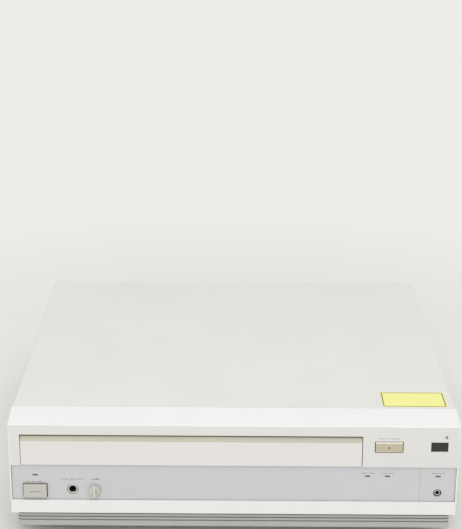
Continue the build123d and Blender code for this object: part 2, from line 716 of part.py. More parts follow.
def rear_panel():
    """Steel back plate with connector holes and vents, out to the cover's sides above the pan."""
    plate = block(-PAN_X + 1, PAN_X - 1, PAN_BACK, BACK_Y, Z_BASE + 4, Z_TOP - SHEET)
    wide = COVER_X - SHEET - GAP
    plate += block(-wide, wide, PAN_BACK, BACK_Y, Z_BAND + GAP, Z_TOP - SHEET - 2.0)
    plate -= block(
        INLET_X - INLET_W / 2 - 2,
        INLET_X + INLET_W / 2 + 2,
        PAN_BACK - 1,
        BACK_Y + 1,
        INLET_Z - INLET_H / 2 - 2,
        INLET_Z + INLET_H / 2 + 2,
    )
    for x in VIDEO_X:
        plate -= rod_y(x, SOCKET_Z, PAN_BACK - 1, BACK_Y + 1, VIDEO_THREAD_R)
    for x in AUDIO_X:
        plate -= rod_y(x, SOCKET_Z, PAN_BACK - 1, BACK_Y + 1, AUDIO_THREAD_R)
    plate -= block(
        SERIAL_X - SERIAL_W / 2,
        SERIAL_X + SERIAL_W / 2,
        PAN_BACK - 1,
        BACK_Y + 1,
        SOCKET_Z - SERIAL_H / 2,
        SOCKET_Z + SERIAL_H / 2,
    )
    half = VENT_WIDTH / 2
    for z in REAR_VENT_ROWS:
        for i in range(REAR_VENTS):
            x = REAR_VENT_X + i * VENT_PITCH
            plate -= block(x - half, x + half, PAN_BACK - 1, BACK_Y + 1, z, z + REAR_VENT_H)
    for x in COVER_BACK_SCREWS:
        plate -= rod_y(x, BACK_SCREW_Z, PAN_BACK - 1, BACK_Y + 1, SCREW_R)
    return plate


VIDEO_THREAD_R = 6.0
AUDIO_THREAD_R = 4.0
SERIAL_W, SERIAL_H = 40.0, 9.0
SERIAL_FLANGE_W, SERIAL_FLANGE_H = 53.0, 12.5


# ---------------------------------------------------------------- deck
def mech_deck():
    """Steel deck that carries the tray, its drive and the traverse unit."""
    deck = block(-FRAME_WEB_X, DECK_X1, DECK_Y0, DECK_Y1, Z_DECK, Z_DECK_TOP)
    x0, x1 = POST_X[0] + 10.0, POST_X[1] - 6.0
    deck -= block(x0, x1, POST_Y[0] - 1, POST_Y[1] + 1, Z_DECK - 1, Z_DECK_TOP + 1)
    slot_y0, slot_y1 = SHAFT_Y - CAM_TRAVEL - 10.0, SHAFT_Y + CAM_TRAVEL + 14.0
    for x in CAM_RACK_X:
        deck -= block(x - 0.8, x + CAM_RACK_W + 0.8, slot_y0, slot_y1, Z_DECK - 1, Z_DECK_TOP + 1)
    for x, y in DECK_BOSSES:
        deck -= post(x, y, Z_DECK - 1, Z_DECK_TOP + 1, SCREW_R)
    deck -= post(MOTOR_X, LOAD_Y, Z_DECK - 1, Z_DECK_TOP + 1, 3.0)
    # hangers under the deck carry the lift shaft and the lift motor
    for x in SHAFT_HANGERS:
        deck += block(x, x + 2.5, SHAFT_Y - 6, SHAFT_Y + 6, SHAFT_Z - 6, Z_DECK + 0.2)
        deck -= rod_x(SHAFT_Y, SHAFT_Z, x - 1, x + 4, SHAFT_R + PIN_CLEAR)
    x = LIFT_MOTOR_X
    deck += block(x - 2, x, LIFT_PINION_Y - 14, LIFT_PINION_Y + 14, SHAFT_Z - 13, Z_DECK + 0.2)
    deck -= rod_x(LIFT_PINION_Y, SHAFT_Z, x - 3, x + 1, 4.0)
    deck -= rod_x(SHAFT_Y, SHAFT_Z, x - 3, x + 1, SHAFT_R + 1)
    return deck


CAM_X = (TRV_X0 - CAM_OFF, TRV_X1 + CAM_OFF)  # inner faces of the two cam plates
CAM_RACK_X = (CAM_X[0] - CAM_FLANGE, CAM_X[1] + CAM_FLANGE - CAM_RACK_W)
SHAFT_HANGERS = (TRV_X0 + 7.0, TRV_X1 - 10.0)
LIFT_MOTOR_X = LIFT_GEAR_X + 6.0


def deck_posts():
    """Turned steel posts riveted to the deck: gear pins, lift guides and cam studs."""
    posts = []
    posts.append(post(LOAD_X, LOAD_Y, Z_DECK_TOP, Z_LOAD_TOP, PIN_R))
    posts.append(post(PULLEY_X, LOAD_Y, Z_DECK_TOP, Z_LOAD_TOP - 7, PIN_R))
    for x in POST_X:
        for y in POST_Y:
            posts.append(post(x, y, Z_DECK_TOP, POST_TOP, POST_R))
    for x in STUD_X:
        for y in STUD_Y:
            stud = post(x, y, Z_DECK_TOP, Z_CAM0 + CAM_T + GAP, STUD_R)
            posts.append(stud + post(x, y, Z_CAM0 + CAM_T + GAP, Z_CAM0 + CAM_T + 1.8, STUD_R + 2))
    return many(posts)


STUD_X = (CAM_X[0] - CAM_T - 4.6, CAM_X[1] + CAM_T + 4.6)
Z_LOAD_TOP = Z_TRAY - 0.6


def chassis_screws():
    """Screws of the deck, boards, feet and bezel."""
    screws = []
    for x, y in DECK_BOSSES:
        screws.append(pan_screw(x, y, Z_DECK_TOP, 10))
    for board in (MAIN_BOARD, POWER_BOARD):
        for x, y, z in board_bosses(board):
            screws.append(pan_screw(x, y, z + BOARD_T, 6))
    for x in (-FOOT_X, FOOT_X):
        for y in FOOT_Y:
            screws.append(pan_screw(x, y, Z_BASE - FOOT_WEB, 9, up=False))
    for x, z in BOARD_POSTS:
        y = BOARD_Y + BOARD_T
        screws.append(rod_y(x, z, y, y + HEAD_H, HEAD_R) + rod_y(x, z, y - 8, y, SCREW_R))
    return many(screws)


def tray_rail(side):
    """Moulded guide channel for one edge of the tray."""
    y0, y1 = DECK_Y0 + 4, DECK_Y1 - 2
    low, high = TONGUE_Z0 - GAP, TONGUE_Z1 + GAP
    if side < 0:
        wall_out, wall_in = -FRAME_WEB_X, TRAY_X0 - RAIL_GAP
        groove = block(TRAY_X0 - TONGUE - RAIL_GAP, wall_in + 1, y0 - 1, y1 + 1, low, high)
        rail = block(wall_out, wall_in, y0, y1, Z_TRAY - 4, Z_RAIL_TOP)
        foot = block(wall_out, wall_out + 2.5, y0, y1, Z_DECK_TOP, Z_TRAY - 3)
        return rail + foot - groove
    wall_in, wall_out = TRAY_X1 + RAIL_GAP, RAIL_END_X
    groove = block(wall_in - 1, TRAY_X1 + TONGUE + RAIL_GAP, y0 - 1, y1 + 1, low, high)
    rail = block(wall_in, wall_out, y0, y1, Z_TRAY - 4, Z_RAIL_TOP)
    foot = block(wall_out - 2.5, wall_out, y0, y1, Z_DECK_TOP, Z_TRAY - 3)
    return rail + foot - groove


def clamp_bridge():
    """Pressed bridge over the tray, with ears for the clamp arm's pivot."""
    x0, x1 = -FRAME_WEB_X, RAIL_END_X
    top = Z_TOP - SHEET - 1.5
    beam = block(x0, x1, BRIDGE_Y0, BRIDGE_Y1, top - SHEET, top)
    for a, b in ((x0, x0 + SHEET), (x1 - SHEET, x1)):
        beam += block(a, b, BRIDGE_Y0, BRIDGE_Y1, Z_RAIL_TOP, top)
    beam += block(x0, TRAY_X0 - RAIL_GAP, BRIDGE_Y0, BRIDGE_Y1, Z_RAIL_TOP, Z_RAIL_TOP + SHEET)
    beam += block(TRAY_X1 + RAIL_GAP, x1, BRIDGE_Y0, BRIDGE_Y1, Z_RAIL_TOP, Z_RAIL_TOP + SHEET)
    for side in (-1, 1):
        x = DISC_X + side * (ARM_HALF + 2.2)
        a, b = sorted((x, x + side * SHEET))
        beam += block(a, b, ARM_PIVOT_Y - 7, ARM_PIVOT_Y + 7, ARM_PIVOT_Z - 5, top)
    beam -= rod_x(ARM_PIVOT_Y, ARM_PIVOT_Z, DISC_X - 60, DISC_X + 60, ARM_PIVOT_R + PIN_CLEAR)
    return beam


# ---------------------------------------------------------------- tray
def tray_plate():
    """Moulded tray with a large and a small disc well and the pickup slot."""
    plate = block(TRAY_X0, TRAY_X1, TRAY_Y0, TRAY_Y1, Z_TRAY, Z_RIM)
    plate += block(
        TRAY_X0 - TONGUE, TRAY_X1 + TONGUE, TRAY_Y0 + 8, TRAY_Y1, TONGUE_Z0, TONGUE_Z1
    )
    big, small = DISC_R + DISC_CLEAR, SMALL_DISC_R + DISC_CLEAR
    plate -= post(DISC_X, DISC_Y, Z_RIM - WELL_DEPTH, Z_RIM + 1, big)
    plate -= post(DISC_X, DISC_Y, Z_RIM - SMALL_WELL_DEPTH, Z_RIM, small)
    slot = post(DISC_X, DISC_Y, Z_TRAY - 1, Z_RIM + 1, SLOT_HALF)
    slot += block(
        DISC_X - SLOT_HALF, DISC_X + SLOT_HALF, DISC_Y, TRAY_Y1 + 1, Z_TRAY - 1, Z_RIM + 1
    )
    plate -= slot
    # finger scoops at the front corners of the well
    for side in (-1, 1):
        x = DISC_X + side * (big - 38)
        plate -= post(x, TRAY_Y0 + 26, Z_RIM - WELL_DEPTH, Z_RIM + 1, 16)
    return plate


def tray_front():
    """Moulded front of the tray: hollow behind, bevelled along its top edge."""
    z_face = Z_DOOR1 - DOOR_BEVEL_H
    body = profile_x(
        [
            (DOOR_PLATE, Z_DOOR0),
            (DOOR_DEPTH, Z_DOOR0),
            (DOOR_DEPTH, Z_DOOR1),
            (DOOR_BEVEL_D, Z_DOOR1),
            (0, z_face),
            (DOOR_PLATE, z_face),
        ],
        DOOR_X0,
        DOOR_X1,
    )
    w = DOOR_WALL
    y0 = DOOR_BEVEL_D + w
    body -= block(DOOR_X0 + w, DOOR_X1 - w, y0, DOOR_DEPTH + 1, Z_DOOR0 + w, Z_DOOR1 - w)
    # web that the tray plate is joined to
    body += block(TRAY_X0 + 10, TRAY_X1 - 10, y0 - 1, DOOR_DEPTH, Z_TRAY + 1, Z_RIM - 2)
    return body


def door_panel():
    """Painted metal face plate on the tray's front."""
    plate = block(DOOR_X0, DOOR_X1, 0, DOOR_PLATE, Z_DOOR0, Z_DOOR1 - DOOR_BEVEL_H)
    return chamfer(plate.faces().sort_by(Axis.Y)[0].edges(), 0.25)


def tray_rack():
    """Toothed rack under the right edge of the tray."""
    bar = rack(RACK_MODULE, RACK_Y0, RACK_Y1, LOAD_Y, RACK_H, RACK_BACK)
    return Pos(RACK_PITCH_X, 0, Z_TRAY - RACK_H) * bar


# ---------------------------------------------------------------- tray drive
Z_LOAD = Z_TRAY - RACK_H + 0.4
Z_LOAD_WHEEL = 72.0
Z_PULLEY = 62.0


def loading_gear():
    """Compound gear: the pinion meets the tray rack, the wheel meets the pulley gear."""
    bore = PIN_R + PIN_CLEAR
    pinion = Pos(0, 0, Z_LOAD) * gear(RACK_MODULE, LOAD_TEETH, GEAR_T, bore)
    wheel = Pos(0, 0, Z_LOAD_WHEEL) * gear(WHEEL_MODULE, LOAD_WHEEL_TEETH, GEAR_T, bore)
    neck = post(0, 0, Z_DECK_TOP + GAP, Z_LOAD, 5.0) - post(0, 0, Z_DECK, Z_LOAD + 1, bore)
    return Pos(LOAD_X, LOAD_Y, 0) * (pinion + wheel + neck)


def pulley_wheel(radius, height):
    """A belt pulley on Z from z = 0, with a groove for the belt."""
    rim = post(0, 0, 0, height, radius + BELT_T)
    groove = post(0, 0, 1.2, height - 1.2, radius + BELT_T + 1) - post(
        0, 0, 0, height, radius - GAP
    )
    return rim - groove


PULLEY_H = 6.0


def pulley_gear():
    """Large belt pulley with the pinion that drives the loading gear."""
    bore = PIN_R + PIN_CLEAR
    pinion = gear(WHEEL_MODULE, PULLEY_TEETH, GEAR_T + 1, bore, mesh_phase(PULLEY_TEETH, 0))
    body = Pos(0, 0, Z_LOAD_WHEEL - 0.5) * pinion
    body += Pos(0, 0, Z_PULLEY) * pulley_wheel(PULLEY_R, PULLEY_H)
    body += post(0, 0, Z_DECK_TOP + GAP, Z_LOAD_WHEEL, PULLEY_PINION_R - 1)
    body -= post(0, 0, Z_DECK, Z_LOAD_WHEEL + 8, bore)
    return Pos(PULLEY_X, LOAD_Y, 0) * body


def motor_pulley():
    """Small pulley on the loading motor's shaft."""
    body = Pos(0, 0, Z_PULLEY) * pulley_wheel(MOTOR_PULLEY_R, PULLEY_H)
    body += post(0, 0, Z_DECK - 4 + GAP, Z_PULLEY + PULLEY_H, 1.5)
    return Pos(MOTOR_X, LOAD_Y, 0) * body


def can_motor_z(x, y, z0, z1, r, bore_r, bore_depth):
    """A small motor standing on Z, with a blind bore in its top for the shaft."""
    can = post(x, y, z0, z1, r)
    can = fillet(can.faces().sort_by(Axis.Z)[0].edges(), 2.0)
    can += post(x, y, z0 - 2, z0 + 0.1, r / 3)
    return can - post(x, y, z1 - bore_depth, z1 + 1, bore_r)


def loading_belt():
    """Rubber belt round the two pulleys."""
    z0 = Z_PULLEY + (PULLEY_H - BELT_H) / 2
    span = PULLEY_X - MOTOR_X

    def wrap(grow):
        big, small = PULLEY_R + grow, MOTOR_PULLEY_R + grow
        lean = acos((big - small) / span)
        pts = [
            (PULLEY_X - big * cos(lean), LOAD_Y + big * sin(lean)),
            (MOTOR_X - small * cos(lean), LOAD_Y + small * sin(lean)),
            (MOTOR_X - small * cos(lean), LOAD_Y - small * sin(lean)),
            (PULLEY_X - big * cos(lean), LOAD_Y - big * sin(lean)),
        ]
        body = Pos(0, 0, z0) * extrude(outline(pts), amount=BELT_H)
        body += post(PULLEY_X, LOAD_Y, z0, z0 + BELT_H, big)
        body += post(MOTOR_X, LOAD_Y, z0, z0 + BELT_H, small)
        return body

    return wrap(BELT_T) - wrap(0.05)


# ---------------------------------------------------------------- traverse unit
def traverse_frame():
    """Cast frame of the lifting unit: plate, side walls, bushes, rod blocks and pins."""
    plate = block(TRV_X0, TRV_X1, TRV_Y0, TRV_Y1, Z_TRV, Z_TRV_TOP)
    window_x0 = DISC_X - ROD_SPREAD - BUSH_R - 1.5
    window_x1 = DISC_X + ROD_SPREAD + BUSH_R + 1.0
    window_y0 = ROD_Y0 + ROD_BLOCK + 1
    plate -= block(window_x0, window_x1, window_y0, ROD_Y1 - ROD_BLOCK, Z_TRV - 1, Z_TRV_TOP + 1)
    for x0 in (TRV_X0, TRV_X1 - TRV_WALL):
        plate += block(x0, x0 + TRV_WALL, TRV_Y0, TRV_Y1, Z_TRV, Z_TRV + TRV_WALL_H)
    for x in POST_X:
        for y in POST_Y:
            plate += post(x, y, Z_TRV, Z_TRV + POST_BUSH_H, POST_BUSH_R)
            plate -= post(x, y, Z_TRV - 1, Z_TRV + POST_BUSH_H + 1, POST_R + PIN_CLEAR)
    for x in ROD_X:
        for y in (ROD_Y0, ROD_Y1 - ROD_BLOCK):
            plate += block(x - 6, x + 6, y, y + ROD_BLOCK, Z_TRV, Z_ROD + 5)
        plate -= rod_y(x, Z_ROD, ROD_Y0 - 1, ROD_Y1 + 1, ROD_R)
    for y in CAM_PIN_Y:
        plate += rod_x(y, CAM_PIN_Z, CAM_X[0] - CAM_T - 0.8, TRV_X0 + 1, CAM_PIN_R)
        plate += rod_x(y, CAM_PIN_Z, TRV_X1 - 1, CAM_X[1] + CAM_T + 0.8, CAM_PIN_R)
    plate -= post(DISC_X, DISC_Y, Z_TRV - 1, Z_TRV_TOP + 1, 9.0)
    plate -= post(SLED_GEAR_X, SLED_PINION_Y, Z_TRV - 1, Z_TRV_TOP + 1, 3.0)
    plate += post(SLED_GEAR_X, SLED_GEAR_Y, Z_TRV_TOP - 0.5, Z_SLED_RACK + SLED_RACK_H, PIN_R)
    return plate


ROD_X = (DISC_X - ROD_SPREAD, DISC_X + ROD_SPREAD)


def guide_rods():
    """Two ground rods that the pickup sled runs on."""
    return many([rod_y(x, Z_ROD, ROD_Y0, ROD_Y1, ROD_R) for x in ROD_X])


def spindle_motor():
    """Flat motor under the traverse frame, with its boss through the plate."""
    can = post(DISC_X, DISC_Y, SPINDLE_CAN_Z0, Z_TRV, SPINDLE_CAN_R)
    can = fillet(can.faces().sort_by(Axis.Z)[0].edges(), 3.0)
    can += post(DISC_X, DISC_Y, Z_TRV - 0.1, Z_TRV_TOP + 3, 8.8)
    return can - post(DISC_X, DISC_Y, SPINDLE_CAN_Z0 + 4, Z_TRV_TOP + 4, SPINDLE_R + PIN_CLEAR)


def turntable():
    """Spindle shaft and disc platter."""
    body = post(DISC_X, DISC_Y, SPINDLE_CAN_Z0 + 4 + GAP, Z_TABLE, SPINDLE_R)
    body += post(DISC_X, DISC_Y, Z_TRV_TOP + 3.5, Z_TABLE - TABLE_T + 1, 12.0)
    dish = post(DISC_X, DISC_Y, Z_TABLE - TABLE_T, Z_TABLE - MAT_T, TABLE_R)
    dish -= post(DISC_X, DISC_Y, Z_TABLE - TABLE_T - 1, Z_TABLE - 3.5, TABLE_R - 3) - post(
        DISC_X, DISC_Y, Z_TABLE - TABLE_T - 2, Z_TABLE, 14.0
    )
    body += dish
    return body


def turntable_mat():
    """Rubber ring that grips the disc's underside."""
    ring = post(DISC_X, DISC_Y, Z_TABLE - MAT_T, Z_TABLE, TABLE_R)
    return ring - post(DISC_X, DISC_Y, Z_TABLE - MAT_T - 1, Z_TABLE + 1, CONE_R + 1.5)


def centring_cone():
    """Cone on the spindle that centres the disc's hole."""
    cone = post(DISC_X, DISC_Y, Z_TABLE - MAT_T, Z_TABLE + 2, CONE_R)
    cone += post(DISC_X, DISC_Y, Z_TABLE + 2, Z_TABLE + CONE_H, CONE_R, CONE_R - 4)
    return cone - post(DISC_X, DISC_Y, Z_TABLE - 2, Z_TABLE + 0.01, SPINDLE_R)


def pickup_sled():
    """Die-cast sled with its bushes, rack and lens well."""
    x0, x1 = DISC_X - SLED_HALF, DISC_X + SLED_HALF
    body = block(x0, x1, SLED_Y0, SLED_Y1, Z_SLED0, Z_SLED1)
    body = fillet(body.edges().filter_by(Axis.Z), 4.0)
    top = 66.0
    for x in ROD_X:
        body += rod_y(x, Z_ROD, SLED_Y0, SLED_Y1, BUSH_R)
        a, b = sorted((x, DISC_X + (SLED_HALF - 1) * (1 if x > DISC_X else -1)))
        body += block(a, b, SLED_Y0, SLED_Y1, Z_SLED0 + 0.5, top)
    for x in ROD_X:
        body -= rod_y(x, Z_ROD, SLED_Y0 - 1, SLED_Y1 + 1, ROD_R + PIN_CLEAR)
    # lens tower
    body += block(DISC_X - 15, DISC_X + 15, LENS_Y - 9, LENS_Y + 13, Z_SLED1 - 1, Z_LENS_TOP - 2)
    body -= post(DISC_X, LENS_Y, Z_SLED1 - 6, Z_LENS_TOP, LENS_R + 1.6)
    # rack arm
    arm_x0 = ROD_X[1] + BUSH_R - 1.5
    z0, z1 = Z_SLED_RACK, Z_SLED_RACK + SLED_RACK_H
    y0, y1 = SLED_GEAR_Y - SLED_TRAVEL - 4, SLED_GEAR_Y + 4
    teeth = mirror(rack(WHEEL_MODULE, y0, y1, SLED_GEAR_Y, SLED_RACK_H, 3.4), Plane.YZ)
    body += Pos(SLED_RACK_X, 0, z0) * teeth
    body += block(arm_x0, SLED_RACK_X - 2, SLED_Y0, SLED_Y1, z0, z1)
    return body


def lens_holder():
    """Objective lens in its moving coil holder."""
    body = post(DISC_X, LENS_Y, Z_SLED1 - 4, Z_LENS_TOP, LENS_R + 1.0)
    dome = Pos(DISC_X, LENS_Y, Z_LENS_TOP - 3.2) * Sphere(LENS_R + 0.2)
    keep_box = block(
        DISC_X - 9, DISC_X + 9, LENS_Y - 9, LENS_Y + 9, Z_LENS_TOP - 3, Z_LENS_TOP + 4
    )
    return body + (dome & keep_box)


def sled_gear():
    """Compound gear: pinion on the sled rack, wheel on the sled motor's pinion."""
    bore = PIN_R + PIN_CLEAR
    z0 = Z_TRV_TOP + GAP
    wheel = Pos(0, 0, z0) * gear(WHEEL_MODULE, SLED_WHEEL_TEETH, SLED_WHEEL_T, bore)
    pinion = gear(WHEEL_MODULE, SLED_TEETH, Z_SLED_RACK + SLED_RACK_H - z0 - 0.5, bore)
    return Pos(SLED_GEAR_X, SLED_GEAR_Y, 0) * (wheel + Pos(0, 0, z0) * pinion)


def sled_pinion():
    """Pinion on the sled motor's shaft."""
    z0 = Z_TRV_TOP + GAP
    phase = mesh_phase(SLED_PINION_TEETH, 90)
    body = Pos(0, 0, z0) * gear(WHEEL_MODULE, SLED_PINION_TEETH, SLED_WHEEL_T + 0.2, 1.0, phase)
    body += post(0, 0, Z_TRV - 6 + GAP, z0 + SLED_WHEEL_T + 0.2, 1.2)
    return Pos(SLED_GEAR_X, SLED_PINION_Y, 0) * body


# ---------------------------------------------------------------- lift cams
def lift_cam(side):
    """Sliding plate whose sloped slots raise the traverse pins; rack along its foot."""
    i = 0 if side < 0 else 1
    inner = CAM_X[i]
    outer = inner + side * CAM_T
    a, b = sorted((inner, outer))
    plate = block(a, b, CAM_Y0, CAM_Y1, Z_CAM0, Z_CAM1)
    rise = LIFT / CAM_TRAVEL
    r = CAM_PIN_R + CAM_SLOT_CLEAR
    lean = degrees(atan2(LIFT, CAM_TRAVEL))
    length = (LIFT**2 + CAM_TRAVEL**2) ** 0.5
    for y in CAM_PIN_Y:
        mid_y, mid_z = y + CAM_TRAVEL / 2, CAM_PIN_Z + rise * CAM_TRAVEL / 2
        hole = Pos((a + b) / 2, mid_y, mid_z) * Rot(lean, 0, 0) * Box(CAM_T + 4, length, 2 * r)
        plate -= hole
        plate -= rod_x(y, CAM_PIN_Z, a - 2, b + 2, r)
        plate -= rod_x(y + CAM_TRAVEL, CAM_PIN_Z + LIFT, a - 2, b + 2, r)
    fa, fb = sorted((inner, inner + side * CAM_FLANGE))
    flange = block(fa, fb, CAM_Y0, CAM_Y1, Z_CAM0, Z_CAM0 + CAM_T)
    for y in STUD_Y:
        flange -= slot_y(STUD_X[i], y - 1, y + CAM_TRAVEL + 1, Z_CAM0 - 1, Z_CAM0 + 4, STUD_R + GAP)
    # toothed foot that passes through the deck
    bar = rack(WHEEL_MODULE, SHAFT_Y - 8, SHAFT_Y + CAM_TRAVEL + 8, SHAFT_Y, CAM_RACK_W, 2.0)
    bar = Rot(0, -90, 0) * bar
    x_rack = CAM_RACK_X[i] + CAM_RACK_W
    bar = Pos(x_rack, 0, SHAFT_Z + LIFT_R) * bar
    z_root = SHAFT_Z + LIFT_R + DEDENDUM * WHEEL_MODULE + 1.0
    bar += block(
        CAM_RACK_X[i], x_rack, SHAFT_Y - 8, SHAFT_Y + CAM_TRAVEL + 8, z_root, Z_CAM0 + 0.5
    )
    return plate + flange + bar


def lift_shaft():
    """Cross shaft whose two end pinions move both lift cams together."""
    x0, x1 = CAM_RACK_X[0], CAM_RACK_X[1] + CAM_RACK_W
    shaft = rod_x(SHAFT_Y, SHAFT_Z, x0, LIFT_MOTOR_X - 2.6, SHAFT_R)
    pinion = gear(WHEEL_MODULE, LIFT_TEETH, CAM_RACK_W - 1, SHAFT_R - 0.2, 90.0)
    for x in (x0 + 0.5, x1 - CAM_RACK_W + 0.5):
        shaft += Pos(x, SHAFT_Y, SHAFT_Z) * Rot(0, 90, 0) * Rot(0, 0, 90) * pinion
    wheel = gear(FINE_MODULE, LIFT_GEAR_TEETH, 2.6, SHAFT_R - 0.2, 0.0)
    shaft += Pos(LIFT_GEAR_X, SHAFT_Y, SHAFT_Z) * Rot(0, 90, 0) * Rot(0, 0, 90) * wheel
    return shaft


def lift_pinion():
    """Pinion on the lift motor's shaft."""
    phase = mesh_phase(LIFT_PINION_TEETH, 180)
    wheel = gear(FINE_MODULE, LIFT_PINION_TEETH, 3.0, 1.0, phase)
    body = Pos(LIFT_GEAR_X - 0.2, LIFT_PINION_Y, SHAFT_Z) * Rot(0, 90, 0) * Rot(0, 0, 90) * wheel
    return body + rod_x(LIFT_PINION_Y, SHAFT_Z, LIFT_GEAR_X - 0.2, LIFT_MOTOR_X + 6, 1.2)


def lift_motor():
    """Small motor that turns the lift shaft."""
    y, z, x = LIFT_PINION_Y, SHAFT_Z, LIFT_MOTOR_X
    can = rod_x(y, z, x, x + 26, SMALL_MOTOR_R - 4.2)
    can += rod_x(y, z, x, x + 24, SMALL_MOTOR_R - 4.2)
    return can - rod_x(y, z, x - 1, x + 6 + GAP, 1.2 + GAP)


# ---------------------------------------------------------------- clamp
def clamp_arm():
    """Pressed arm that holds the clamper over the turntable."""
    y0, y1 = DISC_Y - CLAMP_FLANGE_R - 4, ARM_PIVOT_Y + 5
    arm = block(DISC_X - ARM_HALF, DISC_X + ARM_HALF, y0, y1, ARM_Z, ARM_Z + ARM_T)
    arm = fillet(arm.edges().filter_by(Axis.Z), 10.0)
    arm -= post(DISC_X, DISC_Y, ARM_Z - 1, ARM_Z + ARM_T + 1, CLAMP_NECK_R + 1.2)
    pin_end = ARM_HALF + 2.2 + SHEET + 0.5
    arm += rod_x(ARM_PIVOT_Y, ARM_PIVOT_Z, DISC_X - pin_end, DISC_X + pin_end, ARM_PIVOT_R)
    return arm


def clamper():
    """Free-turning clamp disc with its magnet cap."""
    z1 = Z_CLAMP + CLAMP_T
    body = post(DISC_X, DISC_Y, Z_CLAMP, z1, CLAMP_R)
    body -= post(DISC_X, DISC_Y, Z_CLAMP - 1, z1 - 0.5, CLAMP_RECESS_R)
    top = ARM_Z + ARM_T + GAP
    neck = post(DISC_X, DISC_Y, z1 - 0.5, top + 2, CLAMP_NECK_R)
    neck -= post(DISC_X, DISC_Y, z1 - 1, top + 1, CLAMP_NECK_R - 2)
    return body + neck + post(DISC_X, DISC_Y, top, top + 2, CLAMP_FLANGE_R)


# ---------------------------------------------------------------- front controls
def power_button():
    """Push-push power button with its stem."""
    front = PLATE_FRONT - POWER_PROUD
    cap = bar_y(POWER_X, POWER_Z, front, POWER_CAP_BACK, POWER_W, POWER_H)
    cap = fillet(cap.faces().sort_by(Axis.Y)[0].edges(), 0.8)
    return cap + bar_y(POWER_X, POWER_Z, POWER_CAP_BACK - 0.5, STEM_END, STEM, STEM)


def eject_button():
    """Open and close button with its stem."""
    x0, x1 = EJECT_X - EJECT_W / 2, EJECT_X + EJECT_W / 2
    z0, z1 = EJECT_Z - EJECT_H / 2, EJECT_Z + EJECT_H / 2
    face = -EJECT_PROUD
    back = EJECT_DEPTH
    section = [(face, z0), (face, z1 - EJECT_BEVEL), (face + 1.0, z1), (back, z1), (back, z0)]
    cap = profile_x(section, x0, x1)
    cap = fillet(cap.faces().sort_by(Axis.Y)[0].edges(), 0.3)
    y_end = BOARD_Y - SWITCH_DEPTH - EJECT_TRAVEL - GAP
    return cap + bar_y(EJECT_X, EJECT_Z, back - 0.5, y_end, STEM, STEM)


def level_knob():
    """Level knob with a grip bar, and its shaft."""
    knob = rod_y(KNOB_X, KNOB_Z, KNOB_FRONT + 2.2, PLATE_FRONT - GAP, KNOB_R)
    knob = fillet(knob.faces().sort_by(Axis.Y)[0].edges(), 0.6)
    bar = bar_y(KNOB_X, KNOB_Z, KNOB_FRONT, KNOB_FRONT + 3, KNOB_BAR_W, 2 * KNOB_R - 0.8)
    bar = fillet(bar.faces().sort_by(Axis.Y)[0].edges(), 0.5)
    shaft = rod_y(KNOB_X, KNOB_Z, PLATE_FRONT - 0.5, STEM_END, KNOB_SHAFT_R)
    return knob + bar + shaft


def phone_socket():
    """Headphone socket: ring, threaded sleeve and body with a stepless bore."""
    front = PLATE_FRONT + 0.4
    wall_back, end = FACE_WALL + MOULDED, front + PHONE_DEPTH
    body = rod_y(PHONE_X, PHONE_Z, front, wall_back + 2, PHONE_RING_R)
    body += bar_y(PHONE_X, PHONE_Z, wall_back, end + SOCKET_END, PHONE_BODY, PHONE_BODY)
    return body - rod_y(PHONE_X, PHONE_Z, front - 1, end, PHONE_HOLE_R)


def remote_socket():
    """Small wired-remote socket, set back in its hole."""
    front = PLATE_FRONT + 1.0
    wall_back, end = FACE_WALL + MOULDED, front + REMOTE_DEPTH
    body = rod_y(REMOTE_X, REMOTE_Z, front, wall_back + 2, REMOTE_RING_R)
    body += bar_y(REMOTE_X, REMOTE_Z, wall_back, end + SOCKET_END, REMOTE_BODY, REMOTE_BODY)
    return body - rod_y(REMOTE_X, REMOTE_Z, front - 1, end, REMOTE_HOLE_R)


def ir_window():
    """Dark window in front of the remote receiver."""
    pane = bar_y(IR_X, IR_Z, IR_FRONT, FACE_WALL, IR_W, IR_H)
    return pane + bar_y(IR_X, IR_Z, FACE_WALL, FACE_WALL + IR_LIP_T, IR_W + 2 * IR_LIP, IR_H + 2 * IR_LIP)


def indicator_lenses():
    """Light guides from the indicator lamps to the face plates."""
    pipes = []
    for x, z in LAMPS:
        pipes.append(bar_y(x, z, PLATE_FRONT + 0.1, BOARD_Y - 2, LAMP_W, LAMP_H))
    return many(pipes)


LEFT_BOARD = (-HALF_W + 13.5, -HALF_W + 104.0, Z_PANEL + 0.6, Z_DOOR - 2.3)
RIGHT_BOARD = (HALF_W - 88.4, HALF_W - 13.5, Z_PANEL + 0.6, Z_LINTEL - 3.6)


def circuit_boards():
    """Main, power and front control boards."""
    boards = []
    for board in (MAIN_BOARD, POWER_BOARD):
        x0, x1, y0, y1, z = board
        plate = block(x0, x1, y0, y1, z, z + BOARD_T)
        for bx, by, _ in board_bosses(board):
            plate -= post(bx, by, z - 1, z + BOARD_T + 1, SCREW_R)
        boards.append(plate)
    for x0, x1, z0, z1 in (LEFT_BOARD, RIGHT_BOARD):
        plate = block(x0, x1, BOARD_Y, BOARD_Y + BOARD_T, z0, z1)
        for bx, bz in BOARD_POSTS:
            plate -= rod_y(bx, bz, BOARD_Y - 1, BOARD_Y + BOARD_T + 1, SCREW_R)
        boards.append(plate)
    return many(boards)


